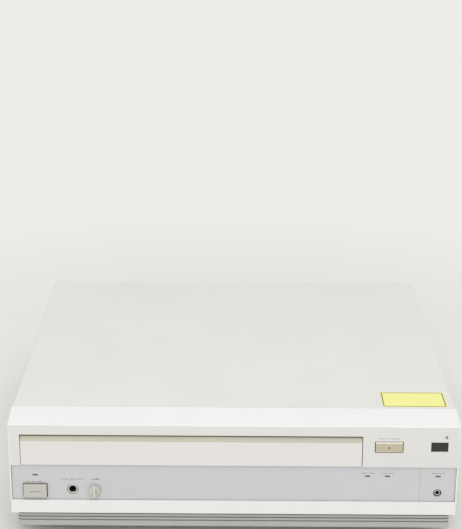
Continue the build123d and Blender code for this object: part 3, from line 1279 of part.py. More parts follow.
def control_parts():
    """Power switch, level potentiometer, eject switch, receiver and lamps."""
    parts = []
    hole = STEM + STEM_GAP
    switch = bar_y(POWER_X, POWER_Z, POWER_SWITCH_Y, BOARD_Y, 18.0, 14.0)
    parts.append(switch - bar_y(POWER_X, POWER_Z, POWER_SWITCH_Y - 1, STEM_END + 4, hole, hole))
    pot = rod_y(KNOB_X, KNOB_Z, POT_Y, BOARD_Y, POT_R)
    parts.append(pot - rod_y(KNOB_X, KNOB_Z, POT_Y - 1, STEM_END + GAP, KNOB_SHAFT_R + PIN_CLEAR))
    parts.append(bar_y(EJECT_X, EJECT_Z, BOARD_Y - SWITCH_DEPTH, BOARD_Y, 12.0, 12.0))
    parts.append(bar_y(IR_X - 1, IR_Z, BOARD_Y - 10, BOARD_Y, 10.0, 10.0))
    for x, z in LAMPS:
        parts.append(bar_y(x, z, BOARD_Y - 2, BOARD_Y, LAMP_W, 3.0))
    return many(parts)


def board_components():
    """Capacitors, chips and connectors on the main and power boards."""
    parts = []
    z = MAIN_BOARD[4] + BOARD_T
    for i in range(5):
        for j in range(4):
            x, y = MAIN_BOARD[0] + 26 + i * 36, MAIN_BOARD[2] + 34 + j * 50
            parts.append(block(x - 10, x + 10, y - 5, y + 5, z, z + 3.5))
    for i in range(6):
        x, y = MAIN_BOARD[0] + 18 + i * 32, MAIN_BOARD[3] - 16
        parts.append(post(x, y, z, z + 9, 4.0))
    x0, y1, z = POWER_BOARD[0], POWER_BOARD[3], POWER_BOARD[4] + BOARD_T
    for i in range(2):
        parts.append(post(x0 + 20 + 28 * i, y1 - 18, z, z + 34, 11.0))
    for i in range(4):
        parts.append(post(x0 + 14 + 14 * i, y1 - 50, z, z + 18, 5.5))
    parts.append(block(x0 + 10, x0 + 60, POWER_BOARD[2] + 12, POWER_BOARD[2] + 26, z, z + 12))
    return many(parts)


SINK_H = 46.0
FINS = 9
FIN_PITCH = 6.0
FIN_T = 2.0


def heat_sink():
    """Finned aluminium heat sink on the power board."""
    x0, y0, z = POWER_BOARD[0] + 8, POWER_BOARD[3] - 110, POWER_BOARD[4] + BOARD_T
    sink = block(x0, x0 + 52, y0, y0 + 4, z, z + SINK_H)
    for i in range(FINS):
        x = x0 + 1 + i * FIN_PITCH
        sink += block(x, x + FIN_T, y0 + 3.5, y0 + 26, z, z + SINK_H)
    return sink


def transformer():
    """Mains transformer: laminated core with its winding."""
    x0, x1, y0, y1 = TRANSFORMER
    core = block(x0, x1, y0 + 14, y1 - 14, Z_FLOOR, Z_FLOOR + TRANSFORMER_H)
    coil = block(x0 + 11, x1 - 11, y0, y1, Z_FLOOR + 9, Z_FLOOR + TRANSFORMER_H - 9)
    coil = fillet(coil.edges().filter_by(Axis.Z), 8.0)
    return core + coil


# ---------------------------------------------------------------- back connectors
def ac_inlet():
    """Three-pin mains inlet with its flange."""
    y_back = BACK_Y + 2.2
    floor = y_back - INLET_DEPTH
    outer_w, outer_h = INLET_W + 2 * INLET_WALL, INLET_H + 2 * INLET_WALL
    body = bar_y(INLET_X, INLET_Z, BACK_Y, y_back, INLET_FLANGE_W, INLET_FLANGE_H)
    body += bar_y(INLET_X, INLET_Z, floor - 4, y_back, outer_w, outer_h)
    body -= bar_y(INLET_X, INLET_Z, floor, y_back + 1, INLET_W, INLET_H)
    for x, z in ((-7.0, -2.0), (0.0, 2.0), (7.0, -2.0)):
        body += bar_y(INLET_X + x, INLET_Z + z, floor - 1, floor + 12, 2.0, 4.0)
    return body


def video_jacks():
    """Two bayonet video sockets with nuts."""
    jacks = []
    for x in VIDEO_X:
        y = BACK_Y
        jack = rod_y(x, SOCKET_Z, y - SHEET - 8, BODY_DEPTH + CONNECTOR_PROUD, 4.8)
        jack += rod_y(x, SOCKET_Z, y - SHEET, y + 0.5, VIDEO_THREAD_R - PIN_CLEAR)
        jack += rod_y(x, SOCKET_Z, y, y + 2.4, 8.0)
        jack -= rod_y(x, SOCKET_Z, y + 2, y + 12, 4.0)
        jack += rod_y(x, SOCKET_Z, y + 1, y + 8, 2.2) - rod_y(x, SOCKET_Z, y + 3, y + 9, 0.8)
        jack += rod_x(y + 7.4, SOCKET_Z, x - 6.2, x - 4.4, 1.1)
        jack += rod_x(y + 7.4, SOCKET_Z, x + 4.4, x + 6.2, 1.1)
        jacks.append(jack)
    return many(jacks)


def audio_jacks():
    """Two phono sockets for the sound outputs."""
    jacks = []
    for x in AUDIO_X:
        y = BACK_Y
        jack = rod_y(x, SOCKET_Z, y - SHEET - 6, y + 9.0, AUDIO_THREAD_R - PIN_CLEAR)
        jack += rod_y(x, SOCKET_Z, y, y + 1.8, 6.0)
        jack -= rod_y(x, SOCKET_Z, y + 2, y + 10, 3.2) - rod_y(x, SOCKET_Z, y, y + 8.4, 2.8)
        jack -= rod_y(x, SOCKET_Z, y + 8.4 - PHONO_DEPTH, y + 10, PHONO_PIN_R)
        jacks.append(jack)
    return many(jacks)


def serial_port():
    """Control port with its metal shell and jack screws."""
    y = BACK_Y
    w, h = SERIAL_W - 0.4, SERIAL_H - 0.4
    body = bar_y(SERIAL_X, SOCKET_Z, y - SHEET - 8, y + 6.0, w, h)
    body += bar_y(SERIAL_X, SOCKET_Z, y, y + 1.2, SERIAL_FLANGE_W, SERIAL_FLANGE_H)
    for side in (-1, 1):
        x = SERIAL_X + side * 23.5
        body += rod_y(x, SOCKET_Z, y + 1, y + 5.5, 2.6)
    return body


# ---------------------------------------------------------------- whole player
def build():
    """Makes every piece and files it under its node name."""
    keep("bottom_pan", bottom_pan())
    keep("rubber_feet", rubber_feet())
    keep("front_bezel", front_bezel())
    panel_end = HALF_W - PANEL_LIP - PLATE_EDGE_GAP
    keep("control_panel", face_plate(-panel_end, PLATE_SPLIT_X - SPLIT_GAP / 2))
    keep("jack_panel", face_plate(PLATE_SPLIT_X + SPLIT_GAP / 2, panel_end))
    keep("top_cover", top_cover())
    keep("cover_screws", cover_screws())
    keep("side_frame_left", side_frame(-1))
    keep("side_frame_right", side_frame(1))
    keep("rear_panel", rear_panel())
    keep("mech_deck", mech_deck())
    keep("deck_posts", deck_posts())
    keep("chassis_screws", chassis_screws())
    keep("tray_rail_left", tray_rail(-1))
    keep("tray_rail_right", tray_rail(1))
    keep("clamp_bridge", clamp_bridge())
    keep("tray_plate", tray_plate())
    keep("tray_front", tray_front())
    keep("door_panel", door_panel())
    keep("tray_rack", tray_rack())
    keep("loading_gear", loading_gear())
    keep("pulley_gear", pulley_gear())
    keep("motor_pulley", motor_pulley())
    loading = can_motor_z(MOTOR_X, LOAD_Y, Z_DECK - 26, Z_DECK, SMALL_MOTOR_R, 1.5 + GAP, 4)
    keep("loading_motor", loading)
    keep("loading_belt", loading_belt())
    keep("traverse_frame", traverse_frame())
    keep("guide_rods", guide_rods())
    keep("spindle_motor", spindle_motor())
    sled_drive = can_motor_z(
        SLED_GEAR_X, SLED_PINION_Y, Z_TRV - 22, Z_TRV, 7.0, 1.2 + GAP, 6
    )
    keep("sled_motor", sled_drive)
    keep("turntable", turntable())
    keep("turntable_mat", turntable_mat())
    keep("centring_cone", centring_cone())
    keep("pickup_sled", pickup_sled())
    keep("lens_holder", lens_holder())
    keep("sled_gear", sled_gear())
    keep("sled_pinion", sled_pinion())
    keep("lift_cam_left", lift_cam(-1))
    keep("lift_cam_right", lift_cam(1))
    keep("lift_shaft", lift_shaft())
    keep("lift_pinion", lift_pinion())
    keep("lift_motor", lift_motor())
    keep("clamp_arm", clamp_arm())
    keep("clamper", clamper())
    keep("power_button", power_button())
    keep("eject_button", eject_button())
    keep("level_knob", level_knob())
    keep("phone_socket", phone_socket())
    keep("remote_socket", remote_socket())
    keep("ir_window", ir_window())
    keep("indicator_lenses", indicator_lenses())
    keep("circuit_boards", circuit_boards())
    keep("control_parts", control_parts())
    keep("board_components", board_components())
    keep("heat_sink", heat_sink())
    keep("transformer", transformer())
    keep("ac_inlet", ac_inlet())
    keep("video_jacks", video_jacks())
    keep("audio_jacks", audio_jacks())
    keep("serial_port", serial_port())


def main():
    build()
    os.makedirs("parts", exist_ok=True)
    for name, shape in PARTS.items():
        export_step(shape, f"parts/{name}.step")


if __name__ == "__main__":
    main()
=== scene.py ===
"""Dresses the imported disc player: finishes, printed marks, fasteners and board parts.

Metres, +Z up, the front towards -Y. The file follows the player as it is put together.
"""
import json
import math

import bmesh
import bpy
from mathutils import Matrix, Vector


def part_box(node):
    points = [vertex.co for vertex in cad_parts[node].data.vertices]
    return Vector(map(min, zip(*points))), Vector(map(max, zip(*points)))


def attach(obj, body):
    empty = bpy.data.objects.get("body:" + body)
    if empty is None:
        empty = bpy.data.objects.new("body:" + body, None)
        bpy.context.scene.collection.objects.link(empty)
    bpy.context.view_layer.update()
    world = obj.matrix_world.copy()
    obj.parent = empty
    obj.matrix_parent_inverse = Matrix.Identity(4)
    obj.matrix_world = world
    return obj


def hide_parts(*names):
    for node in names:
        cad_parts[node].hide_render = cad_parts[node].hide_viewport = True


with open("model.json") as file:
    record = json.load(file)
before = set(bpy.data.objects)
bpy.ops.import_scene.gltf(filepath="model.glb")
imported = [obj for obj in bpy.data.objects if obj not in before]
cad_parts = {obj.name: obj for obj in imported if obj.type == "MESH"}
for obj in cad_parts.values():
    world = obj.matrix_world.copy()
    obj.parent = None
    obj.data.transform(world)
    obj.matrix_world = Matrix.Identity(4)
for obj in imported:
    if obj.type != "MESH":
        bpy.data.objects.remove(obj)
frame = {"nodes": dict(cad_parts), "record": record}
NODES = frame["nodes"]
BODY_OF = {node: body for body, nodes in frame["record"]["behaviour"]["bodies"].items() for node in nodes}
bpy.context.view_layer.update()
MM = 0.001


# -------- camera
# A long lens at head height, about 1.2 m in front of the player and looking down on it.
# Its place and tilt are given from the bezel's front face and the floor.
EYE_BEFORE_FACE = 1.2211
EYE_HEIGHT = 0.698
EYE_ASIDE = -0.0051
LOOK_DOWN = 0.3305
LOOK_ASIDE = -0.0009
EYE_ROLL = -0.0066
LENS_MM = 97.93


def put(name, data):
    """A new object in the scene."""
    piece = bpy.data.objects.new(name, data)
    bpy.context.collection.objects.link(piece)
    return piece


face_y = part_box("front_bezel")[0].y
camera_data = bpy.data.cameras.new("eye")
camera_data.lens = LENS_MM
camera_data.sensor_width = 36.0
camera = put("eye", camera_data)
turn = (
    Matrix.Rotation(LOOK_ASIDE, 4, "Z")
    @ Matrix.Rotation(-LOOK_DOWN, 4, "X")
    @ Matrix.Rotation(EYE_ROLL, 4, "Y")
    @ Matrix.Rotation(math.pi / 2, 4, "X")
)
camera.matrix_world = Matrix.Translation((EYE_ASIDE, face_y - EYE_BEFORE_FACE, EYE_HEIGHT)) @ turn
bpy.context.scene.camera = camera
bpy.context.scene.view_settings.view_transform = "Standard"


# -------- studio
# A pale floor under soft boxes: a large one high in front, a lower one further out and a
# weak one on each side. The world fills the shadows and shows as a pale wall, and the floor
# takes the wall's shade away from the player.
FLOOR_SHADE = "#E9E9E6"
WALL_SHADE = "#EDEDEA"
FILL_STRENGTH = 0.62
FLOOR_HALF = 6.0
FLOOR_CLEAR, FLOOR_FADED = 0.32, 0.95  # how far from the middle the floor takes the wall's shade
SOFT_BOXES = (
    # place, aim, width and height, watts
    ((0.25, -1.10, 2.10), (0.0, 0.0, 0.06), (2.2, 1.4), 19.0),
    ((-0.5, -2.40, 1.10), (0.0, -0.2, 0.06), (1.8, 1.1), 11.0),
    ((2.10, 0.20, 1.10), (0.0, 0.0, 0.06), (1.2, 1.2), 6.0),
    ((-2.10, 0.50, 1.10), (0.0, 0.0, 0.06), (1.2, 1.2), 6.0),
)


def linear(code):
    """An sRGB hex colour as the linear values that shaders take."""
    values = [int(code[i : i + 2], 16) / 255 for i in (1, 3, 5)]
    return [v / 12.92 if v <= 0.04045 else ((v + 0.055) / 1.055) ** 2.4 for v in values] + [1.0]


def add(tree, kind, inputs=None, **settings):
    """One node, with its settings, and with values or links on its inputs."""
    node = tree.nodes.new(kind)
    for name, value in settings.items():
        setattr(node, name, value)
    for name, value in (inputs or {}).items():
        if isinstance(value, bpy.types.NodeSocket):
            tree.links.new(value, node.inputs[name])
        else:
            node.inputs[name].default_value = value
    return node


def maths(tree, operation, *values):
    """The result of one piece of arithmetic on a tree's values."""
    return add(tree, "ShaderNodeMath", dict(enumerate(values)), operation=operation).outputs[0]


def seen_or_bounced(tree):
    """1 for rays that look at a surface directly, in gloss or through glass, 0 for the rest."""
    ray = add(tree, "ShaderNodeLightPath").outputs
    seen = maths(tree, "MAXIMUM", ray["Is Camera Ray"], ray["Is Glossy Ray"])
    return maths(tree, "MAXIMUM", seen, ray["Is Transmission Ray"])


world = bpy.data.worlds.new("studio")
world.use_nodes = True
world.node_tree.nodes.clear()
bpy.context.scene.world = world
sky = world.node_tree
fill = add(sky, "ShaderNodeBackground", {"Color": linear("#FFFFFF"), "Strength": FILL_STRENGTH})
wall = add(sky, "ShaderNodeBackground", {"Color": linear(WALL_SHADE), "Strength": 1.0})
choice = {0: seen_or_bounced(sky), 1: fill.outputs[0], 2: wall.outputs[0]}
choice = add(sky, "ShaderNodeMixShader", choice).outputs[0]
add(sky, "ShaderNodeOutputWorld", {"Surface": choice})

floor_paint = bpy.data.materials.new("pale_floor")
floor_paint.use_nodes = True
ground = floor_paint.node_tree
floor_shader = ground.nodes["Principled BSDF"]
floor_shader.inputs["Base Color"].default_value = linear(FLOOR_SHADE)
floor_shader.inputs["Roughness"].default_value = 0.85
floor_shader.inputs["Specular IOR Level"].default_value = 0.2
spot = add(ground, "ShaderNodeTexCoord").outputs["Object"]
away = add(ground, "ShaderNodeVectorMath", {0: spot}, operation="LENGTH").outputs["Value"]
limits = {"Value": away, "From Min": FLOOR_CLEAR, "From Max": FLOOR_FADED}
far = add(ground, "ShaderNodeMapRange", limits, interpolation_type="SMOOTHSTEP").outputs[0]
share = maths(ground, "MULTIPLY", far, seen_or_bounced(ground))
glow = add(ground, "ShaderNodeEmission", {"Color": linear(WALL_SHADE), "Strength": 1.0}).outputs[0]
blend = {0: share, 1: floor_shader.outputs[0], 2: glow}
blend = add(ground, "ShaderNodeMixShader", blend).outputs[0]
ground.links.new(blend, ground.nodes["Material Output"].inputs["Surface"])
floor_mesh = bpy.data.meshes.new("floor")
corners = [(-1, -1), (1, -1), (1, 1), (-1, 1)]
floor_mesh.from_pydata([(x * FLOOR_HALF, y * FLOOR_HALF, 0) for x, y in corners], [], [(0, 1, 2, 3)])
floor_mesh.materials.append(floor_paint)
put("floor", floor_mesh)

for index, (place, aim, (wide, high), watts) in enumerate(SOFT_BOXES):
    lamp_data = bpy.data.lights.new(f"soft_box_{index}", "AREA")
    lamp_data.shape = "RECTANGLE"
    lamp_data.size = wide
    lamp_data.size_y = high
    lamp_data.energy = watts
    lamp = put(f"soft_box_{index}", lamp_data)
    lamp.rotation_euler = (Vector(aim) - Vector(place)).to_track_quat("-Z", "Y").to_euler()
    lamp.location = place


# -------- base pan
# The tub that everything stands in: grey ABS, injection moulded, with three grooves round
# its skirt and vents under the boards. The mould was spark eroded, which leaves a fine grain.
PAN_GRAIN_MM = 0.7  # drawn coarser than the real 0.3 mm, so that it shows


def surface(name, roughness, metallic=0.0, **sockets):
    """A principled material: the material, its tree, its shader and its object coordinates."""
    material = bpy.data.materials.new(name)
    material.use_nodes = True
    tree = material.node_tree
    shader = tree.nodes["Principled BSDF"]
    shader.inputs["Roughness"].default_value = roughness
    shader.inputs["Metallic"].default_value = metallic
    for socket, value in sockets.items():
        shader.inputs[socket.replace("_", " ")].default_value = value
    place = add(tree, "ShaderNodeTexCoord").outputs["Object"]
    return material, tree, shader, place


def between(tree, share, first, second):
    """A mix of two colours, each a hex shade or a link."""
    ends = [linear(end) if isinstance(end, str) else end for end in (first, second)]
    mix = add(tree, "ShaderNodeMix", {"Factor": share, 6: ends[0], 7: ends[1]}, data_type="RGBA")
    return mix.outputs[2]


def spread(tree, value, low, high, out_low=0.0, out_high=1.0):
    """The value, stretched from one range to another."""
    ends = {"Value": value, "From Min": low, "From Max": high, "To Min": out_low, "To Max": out_high}
    return add(tree, "ShaderNodeMapRange", ends).outputs[0]


def mottle(tree, place, patch_mm, detail, seed=0.0):
    """Soft noise whose patches have a real size."""
    sizes = {"Vector": place, "W": seed, "Scale": 1 / (patch_mm * MM), "Detail": detail, "Roughness": 0.55}
    return add(tree, "ShaderNodeTexNoise", sizes, noise_dimensions="4D").outputs["Fac"]


def cloudy(tree, place, dark, light, patch_mm):
    """A colour that drifts between two shades over patches of a real size."""
    return between(tree, spread(tree, mottle(tree, place, patch_mm, 3.0), 0.3, 0.7), dark, light)


def stretched(tree, place, along, across_mm, along_mm):
    """Coordinates that draw noise out along one axis, for rolled, drawn and ground metal."""
    scale = [1 / (across_mm * MM)] * 3
    scale["XYZ".index(along)] = 1 / (along_mm * MM)
    return add(tree, "ShaderNodeMapping", {"Vector": place, "Scale": scale}).outputs[0]


def ribbed(tree, place, axis, pitch_mm, **settings):
    """Even bands of a real pitch across one axis."""
    sizes = {"Vector": place, "Scale": 1 / (pitch_mm * MM * math.tau), **settings.pop("sizes", {})}
    return add(tree, "ShaderNodeTexWave", sizes, bands_direction=axis, **settings).outputs["Fac"]


def raised(tree, shader, height, height_mm, strength=1.0):
    """Gives the shader a relief of a real height."""
    sizes = {"Height": height, "Distance": height_mm * MM, "Strength": strength}
    relief = add(tree, "ShaderNodeBump", sizes)
    tree.links.new(relief.outputs[0], shader.inputs["Normal"])


def bumped(tree, shader, place, grain_mm, height_mm, strength=1.0):
    """Gives the shader a fine relief of a real grain size."""
    raised(tree, shader, mottle(tree, place, grain_mm, 2.0), height_mm, strength)


def dusted_and_shaded(tree, clean, dust_and_shade, reach_mm, share=0.6):
    """The clean colour, darkened where a corner or a gap shelters it: part dust, part painted shade."""
    # Ambient occlusion sets where the dust and the painted shade fall.
    shelter = add(tree, "ShaderNodeAmbientOcclusion", {"Distance": reach_mm * MM}, samples=8)
    return between(tree, spread(tree, shelter.outputs["AO"], 0.35, 0.95, share, 0.0), clean, dust_and_shade)


def uneven(tree, shader, place, patch_mm, low, high):
    """Roughness that drifts between two values, as handled and dusty surfaces have."""
    drift = spread(tree, mottle(tree, place, patch_mm, 4.0), 0.3, 0.7, low, high)
    tree.links.new(drift, shader.inputs["Roughness"])


def coloured(tree, shader, colour):
    tree.links.new(colour, shader.inputs["Base Color"])


def skin(name, shades, patch_mm, roughness, metallic=0.0, dust_and_shade=None, drift=None, grain=None, **sockets):
    """A plain surface: two shades in soft patches, and dark corners (dust and painted shade), gloss and grain
    where given.

    The dark corners, part dust and part painted shade, are given as a colour, a reach in mm and a
    share. drift is the patch in mm over which the roughness goes from a low to a high value.
    grain is its size and height in mm and strength.
    """
    material, tree, shader, place = surface(name, roughness, metallic, **sockets)
    body = cloudy(tree, place, *shades, patch_mm)
    coloured(tree, shader, dusted_and_shaded(tree, body, *dust_and_shade) if dust_and_shade else body)
    if drift:
        uneven(tree, shader, place, *drift)
    if grain:
        bumped(tree, shader, place, *grain)
    return material


def moulded_abs(name, shade, light, dust_and_shade, roughness=0.5, grain_mm=PAN_GRAIN_MM, dust_and_shade_share=0.6):
    """Moulded ABS: an even satin colour, a fine even grain, and its corners darkened, part dust and part
    painted shade.
    """
    drift, grain = (35.0, roughness - 0.06, roughness + 0.06), (grain_mm, 0.02, 0.5)
    return skin(name, (shade, light), 60.0, roughness, 0.0, (dust_and_shade, 5.0, dust_and_shade_share), drift, grain, IOR=1.53)


def riding(piece, body):
    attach(piece, body)
    return piece


def built(name, work, material, body):
    """A piece in one finish from a mesh in the making."""
    mesh = bpy.data.meshes.new(name)
    work.to_mesh(mesh)
    work.free()
    mesh.materials.append(material)
    return riding(put(name, mesh), body)


def evaluated(piece):
    """What the piece's curve or modifiers make, as plain mesh."""
    graph = bpy.context.evaluated_depsgraph_get()
    return bpy.data.meshes.new_from_object(piece.evaluated_get(graph))


def settled(piece):
    """The piece with its modifiers turned into plain mesh."""
    mesh = evaluated(piece)
    piece.modifiers.clear()
    piece.data = mesh
    return piece


def shaded(piece, sharp_deg=32.0):
    """Smooth shading, broken at real edges, in which the large flat faces stay flat."""
    for face in piece.data.polygons:
        face.use_smooth = True
    piece.data.set_sharp_from_angle(angle=math.radians(sharp_deg))
    flat = piece.modifiers.new("flat", "WEIGHTED_NORMAL")
    flat.mode = "FACE_AREA"
    flat.keep_sharp = True
    return settled(piece)


def merged(node):
    """A copy of a CAD node's mesh with its loose triangles joined up."""
    mesh = NODES[node].data.copy()
    work = bmesh.new()
    work.from_mesh(mesh)
    bmesh.ops.remove_doubles(work, verts=work.verts, dist=1e-6)
    bmesh.ops.dissolve_limit(work, angle_limit=math.radians(0.4), verts=work.verts, edges=work.edges)
    work.to_mesh(mesh)
    work.free()
    return mesh


def rounded(piece, edge):
    """The piece with its sharp edges rounded over."""
    rounding = piece.modifiers.new("edges", "BEVEL")
    rounding.width = edge
    rounding.segments = 2
    rounding.limit_method = "ANGLE"
    rounding.angle_limit = math.radians(40)
    rounding.use_clamp_overlap = False
    return settled(piece)


def finished(node, material, edge=0.0, sharp_deg=32.0):
    """Stands a smooth-shaded copy of a CAD node in its place, with its own finish."""
    mesh = merged(node)
    mesh.materials.clear()
    mesh.materials.append(material)
    piece = put(f"{node}_finished", mesh)
    if edge:
        rounded(piece, edge)
    shaded(piece, sharp_deg)
    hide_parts(node)
    return riding(piece, BODY_OF[node])


def dressed(material, *nodes):
    """Gives several CAD nodes the same finish."""
    for node in nodes:
        finished(node, material)


def faced(piece, material, test):
    """Gives another finish to the faces that pass a test."""
    piece.data.materials.append(material)
    for face in piece.data.polygons:
        if test(face):
            face.material_index = len(piece.data.materials) - 1
    return piece


finished("bottom_pan", moulded_abs("grey_moulded_abs", "#B5B5B2", "#B9B9B6", "#8E8C85", 0.55))


# -------- feet
# Four turned-down rubber feet, each held by a screw in its recess. The same rubber makes
# the platter's mat and the loading belt.

# Natural rubber with carbon black is nearly black and dull, with a bloom of grey dust.
rubber = skin("black_rubber", ("#1C1B1A", "#2E2D2B"), 9.0, 0.8, grain=(0.8, 0.05, 0.5), IOR=1.5)
dressed(rubber, "rubber_feet", "turntable_mat", "loading_belt")


# -------- screws
# Cross-head screws, steel with bright zinc: pan heads in the chassis, the boards and the
# back, flush heads in the cover's sides. The head is cold formed and the cross punched in.
SCREW_RECESS = {"Recess Width": 0.75 * MM, "Recess Length": 3.0 * MM, "Recess Depth": 0.9 * MM}
PAN_HEAD = {"Seat Radius": 3.0 * MM, "Top Radius": 2.1 * MM, "Head Height": 1.8 * MM}
FLUSH_HEAD = {"Seat Radius": 1.6 * MM, "Top Radius": 3.15 * MM, "Head Height": 1.2 * MM}
SHANK_RADIUS = 1.45 * MM


def zinc_plate(name, shade, light, low=0.30, high=0.44):
    """Bright zinc plating: pale and clean, with a faint blue and straw drift in its sheen."""
    material, tree, shader, place = surface(name, low, 1.0)
    body = cloudy(tree, place, shade, light, 14.0)
    tint = spread(tree, mottle(tree, place, 22.0, 2.0, 3.0), 0.45, 0.75, 0.0, 0.25)
    coloured(tree, shader, between(tree, tint, body, "#C9C3A6"))
    uneven(tree, shader, place, 6.0, low, high)
    bumped(tree, shader, place, 1.2, 0.008, 0.5)
    return material


def growing(title, sizes):
    """An empty Geometry Nodes tree with named sizes: the tree and the sockets they arrive on."""
    tree = bpy.data.node_groups.new(title, "GeometryNodeTree")
    socket = tree.interface.new_socket
    socket("Geometry", in_out="INPUT", socket_type="NodeSocketGeometry")
    for label, value in sizes.items():
        kind = "NodeSocketInt" if isinstance(value, int) else "NodeSocketFloat"
        socket(label, in_out="INPUT", socket_type=kind).default_value = value
    socket("Geometry", in_out="OUTPUT", socket_type="NodeSocketGeometry")
    return tree, add(tree, "NodeGroupInput").outputs


def triple(tree, **parts):
    """A vector from its parts."""
    return add(tree, "ShaderNodeCombineXYZ", parts).outputs[0]


def moved(tree, geometry, **move):
    """The geometry, moved or turned."""
    return add(tree, "GeometryNodeTransform", {"Geometry": geometry, **move}).outputs[0]


def block(tree, size):
    return add(tree, "GeometryNodeMeshCube", {"Size": size}).outputs[0]


def rod(tree, radius, depth):
    sizes = {"Vertices": 12, "Radius": radius, "Depth": depth}
    return add(tree, "GeometryNodeMeshCylinder", sizes).outputs["Mesh"]


def cut_out(tree, body, *cutters):
    """The body without what the cutters take from it."""
    cut = add(tree, "GeometryNodeMeshBoolean", {"Mesh 1": body}, operation="DIFFERENCE")
    for cutter in cutters:
        tree.links.new(cutter, cut.inputs["Mesh 2"])
    return cut.outputs[0]


def result(tree, geometry, material):
    """Ends a tree: its instances made real, in one finish."""
    real = add(tree, "GeometryNodeRealizeInstances", {"Geometry": geometry})
    painted = add(tree, "GeometryNodeSetMaterial", {"Geometry": real.outputs[0], "Material": material})
    add(tree, "NodeGroupOutput", {"Geometry": painted.outputs[0]})
    return tree


def grown(name, mesh, tree, sizes):
    """Runs a tree on a mesh and keeps what it makes as plain mesh, on the chassis."""
    piece = put(name, mesh)
    work = piece.modifiers.new("grow", "NODES")
    work.node_group = tree
    for socket in tree.interface.items_tree:
        if socket.in_out == "INPUT" and socket.name in sizes:
            work[socket.identifier] = sizes[socket.name]
    return riding(shaded(settled(piece)), "root")


def upright(x, y, z):
    """A seed that isn't turned."""
    return Vector((x, y, z)), (0, 0, 0), 1.0


def seeds(name, spots):
    """A mesh of loose points, each with a turn and a length along its own Z."""
    mesh = bpy.data.meshes.new(name)
    mesh.from_pydata([place for place, _, _ in spots], [], [])
    mesh.attributes.new("turn", "FLOAT_VECTOR", "POINT")
    mesh.attributes.new("length", "FLOAT", "POINT")
    for index, (_, angles, length) in enumerate(spots):
        mesh.attributes["turn"].data[index].vector = angles
        mesh.attributes["length"].data[index].value = length
    return mesh


def placed(tree, points, shape, scale=None):
    """Instances of a shape on the points, turned as each point says."""
    angles = add(tree, "GeometryNodeInputNamedAttribute", {"Name": "turn"}, data_type="FLOAT_VECTOR")
    turned = add(tree, "FunctionNodeEulerToRotation", {0: angles.outputs[0]}).outputs[0]
    inputs = {"Points": points, "Instance": shape, "Rotation": turned}
    if scale:
        inputs["Scale"] = scale
    return add(tree, "GeometryNodeInstanceOnPoints", inputs).outputs[0]


def cross_head_tree(metal):
    """A cross-recessed head and its shank on every point."""
    sizes = {**PAN_HEAD, **SCREW_RECESS, "Shank Radius": SHANK_RADIUS}
    tree, size = growing("cross_head_screw", sizes)
    cone = {"Vertices": 24, "Side Segments": 3, "Fill Segments": 1, "Depth": size["Head Height"]}
    cone |= {"Radius Top": size["Top Radius"], "Radius Bottom": size["Seat Radius"]}
    head = add(tree, "GeometryNodeMeshCone", cone).outputs["Mesh"]
    through = maths(tree, "MULTIPLY", size["Recess Depth"], 2.0)
    wing = triple(tree, X=size["Recess Length"], Y=size["Recess Width"], Z=through)
    top = triple(tree, Z=size["Head Height"])
    cross = [
        moved(tree, block(tree, wing), Translation=top, Rotation=(0, 0, quarter))
        for quarter in (0.0, math.pi / 2)
    ]
    heads = placed(tree, size["Geometry"], cut_out(tree, head, *cross))
    shank = moved(tree, rod(tree, size["Shank Radius"], 1.0), Translation=(0, 0, -0.5))
    length = add(tree, "GeometryNodeInputNamedAttribute", {"Name": "length"}, data_type="FLOAT")
    tall = triple(tree, X=1.0, Y=1.0, Z=length.outputs[0])
    shanks = placed(tree, size["Geometry"], shank, tall)
    both = add(tree, "GeometryNodeJoinGeometry")
    tree.links.new(heads, both.inputs[0])
    tree.links.new(shanks, both.inputs[0])
    return result(tree, both.outputs[0], metal)


def lumps(mesh):
    """The vertex indices of each loose part of a mesh."""
    work = bmesh.new()
    work.from_mesh(mesh)
    found, left = [], set(work.verts)
    while left:
        front, part = [left.pop()], set()
        while front:
            vertex = front.pop()
            part.add(vertex.index)
            near = {edge.other_vert(vertex) for edge in vertex.link_edges} & left
            left -= near
            front += near
        found.append(part)
    work.free()
    return sorted(found, key=min)


def extent(mesh, part):
    """The lowest and highest corners of some vertices of a mesh."""
    places = [mesh.vertices[index].co for index in part]
    low = Vector([min(place[i] for place in places) for i in range(3)])
    high = Vector([max(place[i] for place in places) for i in range(3)])
    return low, high


def screw_spots(node, head_height):
    """Each screw's seat under its head, the turn that points the head out, and its shank."""
    spots = []
    mesh = merged(node)
    for part in lumps(mesh):
        low, high = extent(mesh, part)
        size, middle = high - low, (low + high) / 2
        along = min(range(3), key=lambda i: abs(size[(i + 1) % 3] - size[(i + 2) % 3]))
        side = (along + 1) % 3
        reach = 0.95 * size[side] / 2
        rim = [v.co[along] for v in mesh.vertices if v.index in part and abs(v.co[side] - middle[side]) > reach]
        outward = 1 if sum(rim) / len(rim) > middle[along] else -1
        seat = middle.copy()
        seat[along] = (high if outward > 0 else low)[along] - outward * head_height
        aim = Vector((0, 0, 0))
        aim[along] = outward
        spots.append((seat, tuple(aim.to_track_quat("Z", "Y").to_euler()), size[along] - head_height))
    return spots


screw_zinc = zinc_plate("bright_zinc_screw_steel", "#B5B6B4", "#C9CAC6")
cross_head = cross_head_tree(screw_zinc)
chassis_spots = screw_spots("chassis_screws", PAN_HEAD["Head Height"])
screws = grown("chassis_screw_set", seeds("chassis", chassis_spots), cross_head, PAN_HEAD)
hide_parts("chassis_screws")


# -------- circuit boards
# Glass-epoxy boards under green solder mask: the main and power boards lie in the pan and
# two stand behind the front controls. Tracks show through the mask as a paler relief.
TRACK_LOOP_MM = 13.0  # one nest of tracks
TRACKS_PER_LOOP = 6
PAD_PITCH_MM = 2.54


